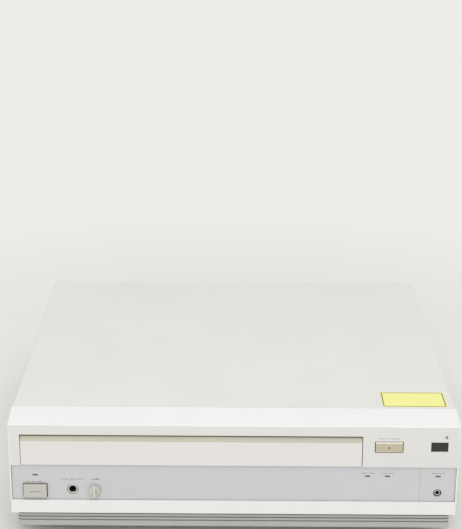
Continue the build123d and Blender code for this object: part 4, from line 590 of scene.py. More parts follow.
def solder_mask(name, shade, track_shade):
    """Green lacquer over copper: glossy, the tracks paler and just raised, tinned pads."""
    material, tree, shader, place = surface(name, 0.28, IOR=1.55)
    nest = {"Vector": place, "Scale": 1 / (TRACK_LOOP_MM * MM), "Randomness": 0.7}
    loops = add(tree, "ShaderNodeTexVoronoi", nest, distance="CHEBYCHEV").outputs["Distance"]
    ripple = maths(tree, "SINE", maths(tree, "MULTIPLY", loops, TRACKS_PER_LOOP * math.tau))
    track = spread(tree, ripple, 0.25, 0.45)
    dots = {"Vector": place, "Scale": 1 / (2 * PAD_PITCH_MM * MM), "Randomness": 0.35}
    near = add(tree, "ShaderNodeTexVoronoi", dots).outputs["Distance"]
    pad = spread(tree, near, 0.12, 0.15, 1.0, 0.0)
    lacquer = between(tree, track, cloudy(tree, place, shade, "#1F5531", 40.0), track_shade)
    coloured(tree, shader, between(tree, pad, lacquer, "#B4B6B2"))
    tree.links.new(pad, shader.inputs["Metallic"])
    raised(tree, shader, track, 0.05, 0.6)
    return material


finished("circuit_boards", solder_mask("green_solder_mask", "#1A4A2A", "#2F6E42"))


# -------- board parts
# Chips in black moulded epoxy on two rows of tinned legs, capacitors in shrunk sleeves
# with bare aluminium tops, and the switches and lamps behind the front.
LEG_PITCH = 2.54 * MM
LEGS_PER_ROW = 7
LEG_SIZE = (0.5 * MM, 1.3 * MM, 2.0 * MM)


def lined(tree, shader, place, along, across_mm, along_mm, gloss, depth):
    """Fine lines along one axis, which carry the roughness and a relief."""
    lines = mottle(tree, stretched(tree, place, along, across_mm, along_mm), 1000.0, 2.0)
    tree.links.new(spread(tree, lines, 0.3, 0.7, *gloss), shader.inputs["Roughness"])
    raised(tree, shader, lines, *depth)
    return lines


def mill_aluminium(name, shade, light):
    """Extruded or rolled aluminium: bright, with upright die lines."""
    material, tree, shader, place = surface(name, 0.35, 1.0)
    lines = lined(tree, shader, place, "Z", 0.35, 30.0, (0.28, 0.46), (0.012, 0.5))
    coloured(tree, shader, between(tree, spread(tree, lines, 0.35, 0.65), shade, light))
    return material


def leg_tree(metal):
    """Two rows of legs beside every chip."""
    sizes = {"Leg Pitch": LEG_PITCH, "Legs": LEGS_PER_ROW, "Row Gap": 11.2 * MM}
    tree, size = growing("chip_legs", sizes)
    long = maths(tree, "MULTIPLY", maths(tree, "SUBTRACT", size["Legs"], 1.0), size["Leg Pitch"])
    rows = {"Size X": long, "Size Y": size["Row Gap"], "Vertices X": size["Legs"], "Vertices Y": 2}
    rows = add(tree, "GeometryNodeMeshGrid", rows).outputs["Mesh"]
    pair = {"Points": rows, "Instance": block(tree, LEG_SIZE)}
    pair = add(tree, "GeometryNodeInstanceOnPoints", pair).outputs[0]
    return result(tree, placed(tree, size["Geometry"], pair), metal)


# Transfer-moulded epoxy: black, matt, faintly speckled by its filler.
epoxy = skin("black_moulded_epoxy", ("#1B1B1C", "#262627"), 2.0, 0.55, grain=(0.5, 0.02, 0.4), IOR=1.6)
# PVC sleeve shrunk on a can: smooth and glossy, pulled a little uneven.
sleeve = skin("dark_blue_shrunk_sleeve", ("#1E2530", "#2B3340"), 12.0, 0.3, grain=(7.0, 0.1, 0.3), IOR=1.53)
can_top = mill_aluminium("bare_can_aluminium", "#B9BABC", "#CDCECF")
components = finished("board_components", epoxy)
components.data.materials.append(sleeve)
components.data.materials.append(can_top)
chips = []
for part in lumps(components.data):
    low, high = extent(components.data, part)
    if len(part) > 8:
        for face in components.data.polygons:
            if face.vertices[0] in part:
                face.material_index = 2 if face.normal.z > 0.9 else 1
    elif high.z - low.z < 5 * MM:
        chips.append(upright((low.x + high.x) / 2, (low.y + high.y) / 2, low.z + LEG_SIZE[2] / 2))
tinned = zinc_plate("tinned_leg_alloy", "#BDBEBF", "#D0D1D2", 0.22, 0.34)
grown("chip_leg_set", seeds("chips", chips), leg_tree(tinned), {})
finished("control_parts", epoxy)


# -------- heat sink and transformer
# An extruded aluminium sink on the power board, and a mains transformer: a stack of
# varnished steel laminations round a winding wrapped in yellow tape.
LAMINATION_MM = 1.0  # drawn thicker than the real 0.5 mm, so that it shows
TAPE_WRAP_MM = 9.0


def laminated_core(name, shade, light):
    """Stacked and varnished steel sheets: dark, with fine upright edges."""
    material, tree, shader, place = surface(name, 0.42, 0.6)
    sheets = ribbed(tree, place, "Y", LAMINATION_MM, sizes={"Distortion": 0.4, "Detail": 1.0})
    coloured(tree, shader, between(tree, sheets, shade, light))
    raised(tree, shader, sheets, 0.1, 0.6)
    return material


def wrapped_tape(name, shade, light):
    """Polyester tape wound round a coil: glossy, with the edge of each wrap showing."""
    material, tree, shader, place = surface(name, 0.25, IOR=1.57)
    wraps = ribbed(tree, place, "Z", TAPE_WRAP_MM, wave_profile="SAW", sizes={"Distortion": 0.3})
    coloured(tree, shader, between(tree, wraps, shade, light))
    raised(tree, shader, wraps, 0.15, 0.5)
    return material


finished("heat_sink", mill_aluminium("extruded_sink_aluminium", "#A9ABAD", "#C0C2C3"))
core_steel = laminated_core("varnished_laminations", "#2E2A27", "#4B4641")
winding = wrapped_tape("yellow_winding_tape", "#C09A2B", "#CFAA3C")
low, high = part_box("transformer")
stack = 13.9 * MM  # from the winding's end to the core's face
core = finished("transformer", core_steel)
faced(core, winding, lambda face: not low.y + stack < face.center.y < high.y - stack)


# -------- deck and frames
# The mechanism's deck and the two side frames: folded sheet steel, zinc plated, with the
# rolling direction front to back. Turned posts are riveted to the deck.
def rolled_zinc(name, shade, light):
    """Zinc-plated cold-rolled sheet: soft grey sheen, fine lines along the roll, faint stains, and its corners
    darkened, part dust and part painted shade.
    """
    material, tree, shader, place = surface(name, 0.4, 1.0)
    lines = lined(tree, shader, place, "Y", 0.6, 60.0, (0.32, 0.5), (0.01, 0.5))
    patches = cloudy(tree, place, shade, light, 28.0)
    streaked = between(tree, spread(tree, lines, 0.3, 0.8, 0.0, 0.35), patches, "#D3D3CE")
    coloured(tree, shader, dusted_and_shaded(tree, streaked, "#6C6A64", 5.0, 0.45))
    return material


def ground_steel(name, shade, light, low=0.14, high=0.26):
    """Ground or turned steel: bright, with fine tool marks round it."""
    return skin(name, (shade, light), 18.0, low, 1.0, drift=(1.5, low, high), grain=(0.5, 0.006, 0.4))


sheet_zinc = rolled_zinc("rolled_zinc_plated_sheet", "#B4B5AF", "#C6C6C0")
turned_steel = ground_steel("turned_post_steel", "#B3B3B0", "#C7C7C4", 0.2, 0.34)
dressed(sheet_zinc, "mech_deck", "side_frame_left", "side_frame_right")
finished("deck_posts", turned_steel)


# -------- tray and lift drives
# Small motors in drawn cans turn acetal gears: one set pulls the tray's rack through a
# belt, the other turns a cross shaft that slides the two lift cams.
def drawn_can(name, shade, light):
    """Nickel-plated drawn steel: smooth and bright, with faint draw lines up the can."""
    material, tree, shader, place = surface(name, 0.26, 1.0)
    lined(tree, shader, place, "Z", 0.8, 25.0, (0.2, 0.36), (0.008, 0.4))
    coloured(tree, shader, cloudy(tree, place, shade, light, 16.0))
    return material


can_nickel = drawn_can("nickel_plated_motor_can", "#B2B1AC", "#C3C2BD")
# Natural acetal: milky white, waxy sheen, light soaking a little way in.
soak = {"Subsurface_Weight": 0.15, "Subsurface_Scale": 1.0}
soak["Subsurface_Radius"] = (1.2 * MM, 1.1 * MM, 0.9 * MM)
acetal_shades = ("#E6E1D3", "#EDE9DC")
gear_acetal = skin("natural_acetal", acetal_shades, 20.0, 0.36, drift=(8.0, 0.3, 0.44), IOR=1.48, **soak)
dressed(can_nickel, "loading_motor", "lift_motor")
dressed(gear_acetal, "loading_gear", "pulley_gear", "motor_pulley", "lift_pinion", "tray_rack")
finished("lift_shaft", ground_steel("ground_shaft_steel", "#BABAB9", "#CFCFCE"))
dressed(sheet_zinc, "lift_cam_left", "lift_cam_right")


# -------- traverse unit
# A die-cast frame with two ground rods. It carries the flat spindle motor with its platter,
# and the cast pickup sled, whose lens floats in a coil holder.
LENS_HIGH = 1.3 * MM


def cast_alloy(name, shade, light):
    """Die-cast zinc alloy, tumbled: dull grey, slightly mottled, with a fine skin and its corners darkened,
    part dust and part painted shade.
    """
    drift, grain = (5.0, 0.42, 0.6), (0.9, 0.03, 0.6)
    return skin(name, (shade, light), 10.0, 0.5, 0.9, ("#55544F", 4.0, 0.5), drift, grain)


def coated_lens(name):
    """A pressed objective lens: clear, with the violet sheen of its coating painted into its colour, dark blue
    face-on and violet at grazing angles.
    """
    material, tree, shader, place = surface(name, 0.04, IOR=1.58, Coat_Weight=0.6, Coat_Roughness=0.03)
    # Painted sheen: dark blue face-on, turning violet as the surface turns away from the eye.
    tilt = add(tree, "ShaderNodeLayerWeight", {"Blend": 0.35}).outputs["Facing"]
    coloured(tree, shader, between(tree, tilt, "#2A2F52", "#5B4E86"))
    return material


cast_grey = cast_alloy("tumbled_die_cast_alloy", "#9D9E9C", "#AEAFAC")
dressed(cast_grey, "traverse_frame", "pickup_sled")
finished("turntable", cast_alloy("machined_platter_alloy", "#B9BAB8", "#C6C7C4"))
finished("guide_rods", ground_steel("ground_rod_steel", "#C3C3C3", "#D6D6D6", 0.08, 0.16))
dressed(can_nickel, "spindle_motor", "sled_motor")
dressed(gear_acetal, "centring_cone", "sled_gear", "sled_pinion")
holder_black = moulded_abs("black_coil_holder", "#202021", "#2A2A2B", "#55534E", 0.45)
low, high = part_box("lens_holder")
dome_foot = high.z - LENS_HIGH
lens = finished("lens_holder", holder_black)
faced(lens, coated_lens("coated_objective_lens"), lambda face: face.center.z > dome_foot)


# -------- tray
# The disc tray: a dark grey ABS moulding with a 30 cm and a 20 cm well and a slot for the
# pickup, running in natural acetal rails. The mould's fine grain keeps fingermarks off.
tray_abs = moulded_abs("dark_grey_tray_abs", "#35373A", "#3B3D40", "#6E6C66", 0.52)
finished("tray_plate", tray_abs)
dressed(gear_acetal, "tray_rail_left", "tray_rail_right")


# -------- tray front
# The front of the tray is a beige ABS moulding with a bevel along its top edge. A thin
# metal plate, painted a warm light grey, is stuck to its face.
def sprayed(name, shade, light, dust_and_shade, low=0.38, high=0.48):
    """Sprayed satin paint: an even colour with the mist of the spray gun in it, and its corners darkened, part
    dust and part painted shade.
    """
    drift, grain = (50.0, low, high), (0.9, 0.012, 0.5)
    return skin(name, (shade, light), 90.0, low, 0.0, (dust_and_shade, 4.0, 0.5), drift, grain, IOR=1.5)


beige_abs = moulded_abs("beige_moulded_abs", "#BDBCA8", "#C1C0AC", "#6F6C58", 0.5)
finished("tray_front", beige_abs)
door_paint = sprayed("warm_grey_painted_plate", "#E1DDDA", "#E4E0DD", "#9C9892")
finished("door_panel", door_paint)


# -------- clamp
# A pressed steel bridge over the tray holds the clamp arm, and the arm holds a loose acetal
# clamper that presses the disc on the platter.
dressed(sheet_zinc, "clamp_bridge", "clamp_arm")
finished("clamper", gear_acetal)


# -------- back panel
# Coated sheet steel, pierced for the sockets and vents, in a flat warm grey. Plain numbers
# beside the sockets are screen printed.
INK_THICK = 0.06 * MM  # drawn thicker than the real 0.01 mm, so that it clears the sheet
CAPITAL_SHARE = 0.69  # height of a figure in the type's own units
SOCKET_NUMBER_HIGH = 3.0 * MM


def screen_ink(name, shade, light):
    """Screen-printed ink: flat and dull, a little thin where the squeegee lifted."""
    return skin(name, (shade, light), 3.0, 0.65, drift=(2.0, 0.58, 0.72), IOR=1.5)


def printed_bar(work, x, z, wide, high):
    """A rule in the print, centred at x, z."""
    sizes = Matrix.Diagonal((wide, INK_THICK, high, 1))
    bmesh.ops.create_cube(work, size=1.0, matrix=Matrix.Translation((x, 0, z)) @ sizes)


def printed_figures(work, words, high, x, z, facing=-1):
    """Plain figures in the print, centred at x, z, on a face towards -Y or +Y."""
    curve = bpy.data.curves.new("figures", "FONT")
    curve.body = words
    curve.size = high / CAPITAL_SHARE
    curve.extrude = INK_THICK / 2
    curve.resolution_u = 3
    curve.align_x, curve.align_y = "CENTER", "CENTER"
    holder = put("figures", curve)
    mesh = evaluated(holder)
    bpy.data.objects.remove(holder)
    about = Matrix.Rotation(0.0 if facing < 0 else math.pi, 4, "Z")
    mesh.transform(Matrix.Translation((x, 0, z)) @ about @ Matrix.Rotation(math.pi / 2, 4, "X"))
    work.from_mesh(mesh)
    bpy.data.meshes.remove(mesh)


def prism(work, *outlines):
    """A solid between two like outlines."""
    rings = [[work.verts.new(corner) for corner in outline] for outline in outlines]
    for ring in rings:
        work.faces.new(ring)
    near, far = rings
    for one, two in zip(range(len(near)), [*range(1, len(near)), 0]):
        work.faces.new((near[one], near[two], far[two], far[one]))


def printed_outline(work, corners):
    """A filled outline in the print, from its corners in x and z."""
    prism(work, *([(x, y, z) for x, z in corners] for y in (-INK_THICK / 2, INK_THICK / 2)))


def printed(name, work, y, ink, body):
    """Lays a print on the face at y and rides it on what it is printed on."""
    bmesh.ops.remove_doubles(work, verts=work.verts, dist=1e-7)
    bmesh.ops.recalc_face_normals(work, faces=work.faces)
    bmesh.ops.translate(work, verts=work.verts, vec=(0, y, 0))
    return built(name, work, ink, body)


coated_steel = sprayed("grey_coated_steel", "#ABABA6", "#B0B0AB", "#66645E", 0.42, 0.54)
finished("rear_panel", coated_steel)
grey_ink = screen_ink("dark_grey_screen_ink", "#5A5A57", "#6C6C68")
panel_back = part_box("rear_panel")[1].y
numbers = bmesh.new()
for node, above in (("video_jacks", 5.0), ("audio_jacks", 4.0)):
    spots = [extent(merged(node), part) for part in lumps(merged(node))]
    for count, (low, high) in enumerate(sorted(spots, key=lambda spot: -spot[0].x)):
        middle, z = (low.x + high.x) / 2, high.z + above * MM
        printed_figures(numbers, str(count + 1), SOCKET_NUMBER_HIGH, middle, z, facing=1)
printed("socket_numbers", numbers, panel_back, grey_ink, "root")


# -------- back sockets
# A three-pin mains inlet in black nylon, two bayonet video jacks and two phono jacks with
# turned nickel shells, and a 25-way control port whose gilt contacts sit in a nylon block.
CONTACT_PITCH = 2.76 * MM
CONTACT_ROW_GAP = 2.84 * MM
CONTACTS_IN_ROWS = (13, 12)
INLET_DEEP = 16.0 * MM
INLET_PINS = ((-7.0 * MM, -2.0 * MM), (0.0, 2.0 * MM), (7.0 * MM, -2.0 * MM))
PIN_REACH = (1.05 * MM, 2.05 * MM)
PHONO_INSERT_R, VIDEO_INSERT_R, VIDEO_PIN_R = 2.9 * MM, 2.25 * MM, 0.82 * MM


def turned_nickel(name, shade, light, low=0.18, high=0.30):
    """Nickel on turned brass: warm, bright, with fine rings from the lathe."""
    return skin(name, (shade, light), 9.0, low, 1.0, drift=(3.0, low, high), grain=(0.4, 0.006, 0.4))


def near_axis(piece, low, high, reach):
    """A test for the faces behind the panel that lie wholly near a socket's own axis."""
    x, z = (low.x + high.x) / 2, (low.z + high.z) / 2
    corners = piece.data.vertices

    def test(face):
        spots = [corners[index].co for index in face.vertices]
        return all(math.hypot(co.x - x, co.z - z) < reach and co.y > panel_back for co in spots)

    return test


nylon = moulded_abs("black_moulded_nylon", "#222223", "#2C2C2D", "#57554F", 0.5)
nickel = turned_nickel("nickel_plated_brass", "#C2BFB6", "#D3D0C8")
gilt = turned_nickel("gilt_contact", "#C9A04A", "#D8B565", 0.2, 0.3)
white_insert = moulded_abs("white_moulded_insert", "#E6E4DD", "#ECEAE4", "#8B8983", 0.42)
red_insert = moulded_abs("red_moulded_insert", "#A8241F", "#B62D27", "#5A1714", 0.42)

low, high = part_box("ac_inlet")
inlet_middle, inlet_floor = (low + high) / 2, high.y - INLET_DEEP


def on_inlet_pin(face):
    off = face.center - inlet_middle
    near = [abs(off.x - x) < PIN_REACH[0] and abs(off.z - z) < PIN_REACH[1] for x, z in INLET_PINS]
    return face.center.y >= inlet_floor + 0.1 * MM and any(near)


faced(finished("ac_inlet", nylon, 0.0), nickel, on_inlet_pin)

phono = finished("audio_jacks", nickel)
spots = sorted((extent(phono.data, part) for part in lumps(phono.data)), key=lambda spot: -spot[0].x)
for insert, (low, high) in zip((white_insert, red_insert), spots):
    faced(phono, insert, near_axis(phono, low, high, PHONO_INSERT_R))

video = finished("video_jacks", nickel)
for part in lumps(video.data):
    low, high = extent(video.data, part)
    faced(video, white_insert, near_axis(video, low, high, VIDEO_INSERT_R))
    faced(video, gilt, near_axis(video, low, high, VIDEO_PIN_R))

port = finished("serial_port", nickel)
low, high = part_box("serial_port")
port_face = high.y
faced(port, nylon, lambda face: face.center.y > port_face - 0.1 * MM)


def contact_tree(metal):
    """A row of short open tubes, centred on each point."""
    tube = {"Tube Radius": 0.62 * MM, "Bore Radius": 0.34 * MM, "Tube Length": 0.5 * MM}
    tree, size = growing("contact_row", {"Contacts": 13, "Pitch": CONTACT_PITCH, **tube})
    long = maths(tree, "MULTIPLY", maths(tree, "SUBTRACT", size["Contacts"], 1.0), size["Pitch"])
    first = triple(tree, X=maths(tree, "MULTIPLY", long, -0.5))
    row = {"Count": size["Contacts"], "Start Location": first, "Offset": triple(tree, X=size["Pitch"])}
    row = add(tree, "GeometryNodeMeshLine", row).outputs[0]
    shell = rod(tree, size["Tube Radius"], size["Tube Length"])
    bore = rod(tree, size["Bore Radius"], size["Tube Length"])
    bore = moved(tree, bore, Translation=triple(tree, Z=size["Bore Radius"]))
    tube = moved(tree, cut_out(tree, shell, bore), Rotation=(-math.pi / 2, 0, 0))
    tubes = add(tree, "GeometryNodeInstanceOnPoints", {"Points": row, "Instance": tube}).outputs[0]
    return result(tree, placed(tree, size["Geometry"], tubes), metal)


contact_row = contact_tree(gilt)
for place, (contacts, side) in enumerate(zip(CONTACTS_IN_ROWS, (1, -1))):
    z = (low.z + high.z) / 2 + side * CONTACT_ROW_GAP / 2
    spot = seeds("contacts", [upright((low.x + high.x) / 2, port_face, z)])
    grown(f"port_contacts_{place}", spot, contact_row, {"Contacts": contacts})


# -------- front bezel
# One ABS moulding in a very pale grey, open for the tray and the controls. It snaps on the
# pan, and its top edge slopes up to the cover. Its colour is painted light on the slope and
# band, and its upright face above the plates is painted darker and warmer as painted shade.
# Two copies of one plastic: the lighter is painted light for the slope and band, the darker, warmer one is
# painted shade for the upright face.
lit_bezel_abs = moulded_abs("pale_grey_moulded_abs_painted_light", "#E9EAE8", "#EBECEA", "#B7B6AF", 0.45, 0.6, 0.3)
shaded_face_abs = moulded_abs("warm_grey_bezel_face_painted_shade", "#DEDCD9", "#E0DEDB", "#B0AEA7", 0.48, 0.6, 0.3)
above_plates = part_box("control_panel")[1].z


def cut_level(piece, z):
    """The piece with its faces cut along a level, so that a finish can end there."""
    work = bmesh.new()
    work.from_mesh(piece.data)
    everything = [*work.verts, *work.edges, *work.faces]
    bmesh.ops.bisect_plane(work, geom=everything, dist=1e-7, plane_co=(0, 0, z), plane_no=(0, 0, 1))
    work.to_mesh(piece.data)
    work.free()
    return shaded(piece)


# The upright front faces above the plates, which take the darker copy as painted shade.
def on_shaded_front(face):
    return face.normal.y < -0.97 and face.center.z > above_plates and face.center.y < face_y + 0.5 * MM


faced(cut_level(finished("front_bezel", lit_bezel_abs), above_plates), shaded_face_abs, on_shaded_front)


# -------- control plates
# Two thin plates stuck in the bezel's recess, one lapping under the other, sprayed a cool
# grey and printed with plain signs: rules, numbers, a wedge and a sign for headphones.
RULE_HIGH = 0.38 * MM
FIGURE_HIGH = 1.5 * MM
DIAL = {"Ticks": 9, "Radius": 7.3 * MM, "Sweep": math.radians(240)}
DIAL |= {"Tick Length": 1.1 * MM, "Tick Width": 0.34 * MM}
DIAL_END = math.radians(150)
DIAL_END_RADIUS = 7.4 * MM
LAMP_CAPTION_UP, LAMP_CAPTION_WIDE, LAMP_CAPTION_GAP = 3.1 * MM, 12.5 * MM, 2.6 * MM
ON_LEFT, DASH_LEFT, OFF_RIGHT = 7.2 * MM, 1.2 * MM, 4.6 * MM  # from the power button's middle
POWER_CAPTION_UP, PHONE_CAPTION_UP = 1.9 * MM, 10.6 * MM
PHONE_CAPTION_WIDE, PHONE_CAPTION_GAP, PHONE_SIGN_R = 22.0 * MM, 6.0 * MM, 1.3 * MM
WEDGE_LEFT, WEDGE_RIGHT, WEDGE_DOWN, WEDGE_HIGH = 4.6 * MM, 4.4 * MM, 0.5 * MM, 1.3 * MM
TONGUE_DEEP, TONGUE_THICK = 0.75 * MM, 0.9 * MM  # the lap where the two plates meet

plate_paint = sprayed("cool_grey_painted_plate", "#C8C9CA", "#CBCCCD", "#A9AAA7", 0.42, 0.52)
dressed(plate_paint, "control_panel", "jack_panel")
plate_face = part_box("control_panel")[0].y
left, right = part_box("control_panel")[1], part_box("jack_panel")[0]
tongue = bmesh.new()
size = Matrix.Diagonal((right.x - left.x, TONGUE_THICK, left.z - right.z, 1))
middle = Vector(((left.x + right.x) / 2, plate_face + TONGUE_DEEP, (left.z + right.z) / 2))
bmesh.ops.create_cube(tongue, size=1.0, matrix=Matrix.Translation(middle) @ size)
built("plate_tongue", tongue, plate_paint, "root")


def centre(node):
    low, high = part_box(node)
    return (low + high) / 2


def flanked(work, middle, z, wide, gap):
    """Two rules with a gap between them for a figure or a sign."""
    long = (wide - gap) / 2
    for side in (-1, 1):
        printed_bar(work, middle + side * (gap + long) / 2, z, long, RULE_HIGH)


def headphone_sign(work, x, z, radius):
    """A band over two ear cups."""
    steps = [math.pi * turn / 8 for turn in range(9)]
    outer, inner = (
        [(x + reach * math.cos(turn), z + reach * math.sin(turn)) for turn in steps]
        for reach in (radius, 0.72 * radius)
    )
    printed_outline(work, outer + inner[::-1])
    for side in (-1, 1):
        printed_bar(work, x + side * 0.86 * radius, z - 0.4 * radius, 0.5 * radius, 0.9 * radius)


plate_ink = screen_ink("grey_plate_ink", "#6E6E6B", "#7B7B78")
signs = bmesh.new()
power, phones, knob = centre("power_button"), centre("phone_socket"), centre("level_knob")
caption_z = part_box("power_button")[1].z + POWER_CAPTION_UP
printed_figures(signs, "ON", FIGURE_HIGH, power.x - ON_LEFT, caption_z)
printed_bar(signs, power.x - DASH_LEFT, caption_z, 3.4 * MM, RULE_HIGH)
printed_figures(signs, "OFF", FIGURE_HIGH, power.x + OFF_RIGHT, caption_z)
caption_z = phones.z + PHONE_CAPTION_UP
flanked(signs, phones.x, caption_z, PHONE_CAPTION_WIDE, PHONE_CAPTION_GAP)
headphone_sign(signs, phones.x, caption_z - 0.2 * MM, PHONE_SIGN_R)
left, right, foot = knob.x - WEDGE_LEFT, knob.x + WEDGE_RIGHT, caption_z - WEDGE_DOWN
printed_outline(signs, [(left, foot), (right, foot), (right, foot + WEDGE_HIGH)])
for side, figure in ((-1, "0"), (1, "10")):
    x = knob.x + side * DIAL_END_RADIUS * math.sin(DIAL_END)
    printed_figures(signs, figure, FIGURE_HIGH, x, knob.z + DIAL_END_RADIUS * math.cos(DIAL_END))
guides = merged("indicator_lenses")
lamps = sorted((extent(guides, part) for part in lumps(guides)), key=lambda spot: spot[0].x)
for number, (low, high) in enumerate(lamps[1:]):
    middle, z = (low.x + high.x) / 2, (low.z + high.z) / 2 + LAMP_CAPTION_UP
    flanked(signs, middle, z, LAMP_CAPTION_WIDE, LAMP_CAPTION_GAP)
    printed_figures(signs, str(number + 1), FIGURE_HIGH, middle, z)
printed("plate_signs", signs, plate_face, plate_ink, "root")


def dial_tree(ink):
    """Ticks fanned round each point, from one end of the sweep to the other."""
    tree, size = growing("dial_ticks", DIAL)
    last = maths(tree, "SUBTRACT", size["Ticks"], 1.0)
    share = maths(tree, "DIVIDE", add(tree, "GeometryNodeInputIndex").outputs[0], last)
    turn = maths(tree, "MULTIPLY", maths(tree, "SUBTRACT", share, 0.5), size["Sweep"])
    aim = triple(tree, X=maths(tree, "SINE", turn), Z=maths(tree, "COSINE", turn))
    reach = add(tree, "ShaderNodeVectorMath", {0: aim, "Scale": size["Radius"]}, operation="SCALE").outputs[0]
    fan = add(tree, "GeometryNodePoints", {"Count": size["Ticks"], "Position": reach}).outputs[0]
    tick = block(tree, triple(tree, X=size["Tick Width"], Y=INK_THICK, Z=size["Tick Length"]))
    about = add(tree, "FunctionNodeEulerToRotation", {0: triple(tree, Y=turn)}).outputs[0]
    ticks = {"Points": fan, "Instance": tick, "Rotation": about}
    ticks = add(tree, "GeometryNodeInstanceOnPoints", ticks).outputs[0]
    return result(tree, placed(tree, size["Geometry"], ticks), ink)


dial_spot = seeds("dial", [upright(knob.x, plate_face, knob.z)])
grown("dial_ticks", dial_spot, dial_tree(plate_ink), DIAL)


# -------- front sockets
# The headphone socket has a turned nickel ring round a black bore. The small remote socket
# sits deeper, a nickel sleeve in a black body. A black collar fills the hole round each.
SOCKET_EDGE = 0.3 * MM
COLLAR_SIDES = 40
# Inner and outer radius, then the depths of front and back behind the socket's front.
COLLARS = {"phone_socket": (4.65, 5.45, 0.5, 1.1), "remote_socket": (2.85, 3.95, 0.5, 1.1)}
PHONE_NUT = (4.3, 5.15, 0.1, 0.7)


def socket_ring(node):
    """A black socket body whose front ring and sleeve are nickel."""
    middle, front = centre(node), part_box(node)[0].y

    def on_ring(face):
        out = face.center - middle
        outside = out.x * face.normal.x + out.z * face.normal.z > 0 and abs(face.normal.y) < 0.5
        facing = face.normal.y < -0.3 and face.center.y < front + 0.6 * MM
        return facing or (outside and face.center.y < front + 2.6 * MM)

    return faced(finished(node, nylon, SOCKET_EDGE, 25.0), nickel, on_ring)


def lofted(sections):
    """A closed ring through sections of four corners."""
    work = bmesh.new()
    rings = [[work.verts.new(corner) for corner in section] for section in sections]
    for one, two in zip(rings, rings[1:] + rings[:1]):
        for here, there in ((0, 1), (1, 2), (2, 3), (3, 0)):
            work.faces.new((one[here], two[here], two[there], one[there]))
    bmesh.ops.recalc_face_normals(work, faces=work.faces)
    return work


def collar(name, node, sizes, material):
    """A turned ring round a socket's axis, between two depths behind its front."""
    middle, face = centre(node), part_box(node)[0].y
    inner, outer, front, back = (size * MM for size in sizes)
    corners = ((inner, front), (outer, front), (outer, back), (inner, back))
    sections = []
    for step in range(COLLAR_SIDES):
        turn = math.tau * step / COLLAR_SIDES
        aim = Vector((math.cos(turn), 0, math.sin(turn)))
        hub = Vector((middle.x, 0, middle.z))
        sections.append([hub + Vector((0, face + depth, 0)) + aim * radius for radius, depth in corners])
    work = lofted(sections)
    shaded(built(name, work, material, "root"))


for node, sizes in COLLARS.items():
    socket_ring(node)
    collar(f"{node}_collar", node, sizes, nylon)
collar("phone_socket_nut", "phone_socket", PHONE_NUT, nickel)


# -------- lamps and remote window
# Smoked acrylic light guides carry the lamps to the plates. The receiver looks out through
# a dark pane that lets only infrared through.
def smoked_acrylic(name, shade, light, roughness, gloss):
    """Cast acrylic, smoked: dark, smooth and glossy, with a faint cloud of wiping marks."""
    sockets = {"IOR": 1.49, "Specular_IOR_Level": gloss}
    return skin(name, (shade, light), 6.0, roughness, drift=(4.0, roughness, roughness + 0.08), **sockets)


finished("indicator_lenses", smoked_acrylic("smoked_lamp_guide", "#5B5956", "#64625E", 0.3, 0.4))
finished("ir_window", smoked_acrylic("dark_infrared_pane", "#2E2D26", "#35342C", 0.1, 0.35))


# -------- buttons and knob
# Beige ABS caps on stems that run back to the switches. The open and close button's sloping
# top faces are painted pale cream as a painted highlight, and the level knob has a grip bar across it.
CAP_EDGE = 0.25 * MM
EJECT_SIGN, EJECT_SIGN_DOWN = 2.6 * MM, 0.5 * MM  # its size, and how far below the middle it sits
EJECT_RULES_UP, EJECT_RULES_WIDE, EJECT_RULES_GAP = 3.6 * MM, 21.0 * MM, 1.6 * MM
POWER_RULE_DOWN, POWER_RULE_WIDE, POWER_RULE_HIGH = 0.2 * MM, 11.0 * MM, 0.5 * MM
HANDSET_AT = (6.4, 10.0)  # mm, aside from and above the middle of the pane
HANDSET_BARS = ((0.0, 1.4, 3.2), (-1.3, 0.4, 2.2), (-2.1, 0.4, 1.3))  # mm, aside, wide, high

power_abs = moulded_abs("warm_grey_button_abs", "#C1BEB6", "#C5C2BA", "#77756A", 0.48)
eject_abs = moulded_abs("beige_button_abs", "#BDB49A", "#C2B9A0", "#6E6A58", 0.48)
knob_abs = moulded_abs("cream_knob_abs", "#CFCDC0", "#D4D2C6", "#77756A", 0.48)
finished("power_button", power_abs, CAP_EDGE)
# Painted highlight: a pale cream copy of the button plastic on the eject button's upward-sloping top faces.
eject_highlight_abs = moulded_abs("cream_eject_painted_highlight", "#E6E2CF", "#EAE6D5", "#8A8674", 0.4)
eject_cap = finished("eject_button", eject_abs)
faced(eject_cap, eject_highlight_abs, lambda face: 0.5 < face.normal.z < 0.95 and face.normal.y < 0)
finished("level_knob", knob_abs)
stamp = bmesh.new()
printed_bar(stamp, power.x, power.z - POWER_RULE_DOWN, POWER_RULE_WIDE, POWER_RULE_HIGH)
printed("power_mark", stamp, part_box("power_button")[0].y, plate_ink, "power_button")
eject = centre("eject_button")
half = EJECT_SIGN / 2
stamp = bmesh.new()
middle, foot = eject.z - EJECT_SIGN_DOWN, eject.z - EJECT_SIGN_DOWN - 0.2 * half
printed_outline(stamp, [(eject.x - half, foot), (eject.x + half, foot), (eject.x, middle + half)])
printed_bar(stamp, eject.x, middle - 0.75 * half, EJECT_SIGN, 0.4 * MM)
printed("eject_mark", stamp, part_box("eject_button")[0].y, grey_ink, "eject_button")

bezel_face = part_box("front_bezel")[0].y
signs = bmesh.new()
eject_top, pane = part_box("eject_button")[1].z, centre("ir_window")
flanked(signs, eject.x, eject_top + EJECT_RULES_UP, EJECT_RULES_WIDE, EJECT_RULES_GAP)
for aside, wide, high in HANDSET_BARS:
    at = pane.x + (HANDSET_AT[0] + aside) * MM, pane.z + HANDSET_AT[1] * MM
    printed_bar(signs, *at, wide * MM, high * MM)
printed("bezel_signs", signs, bezel_face, plate_ink, "root")


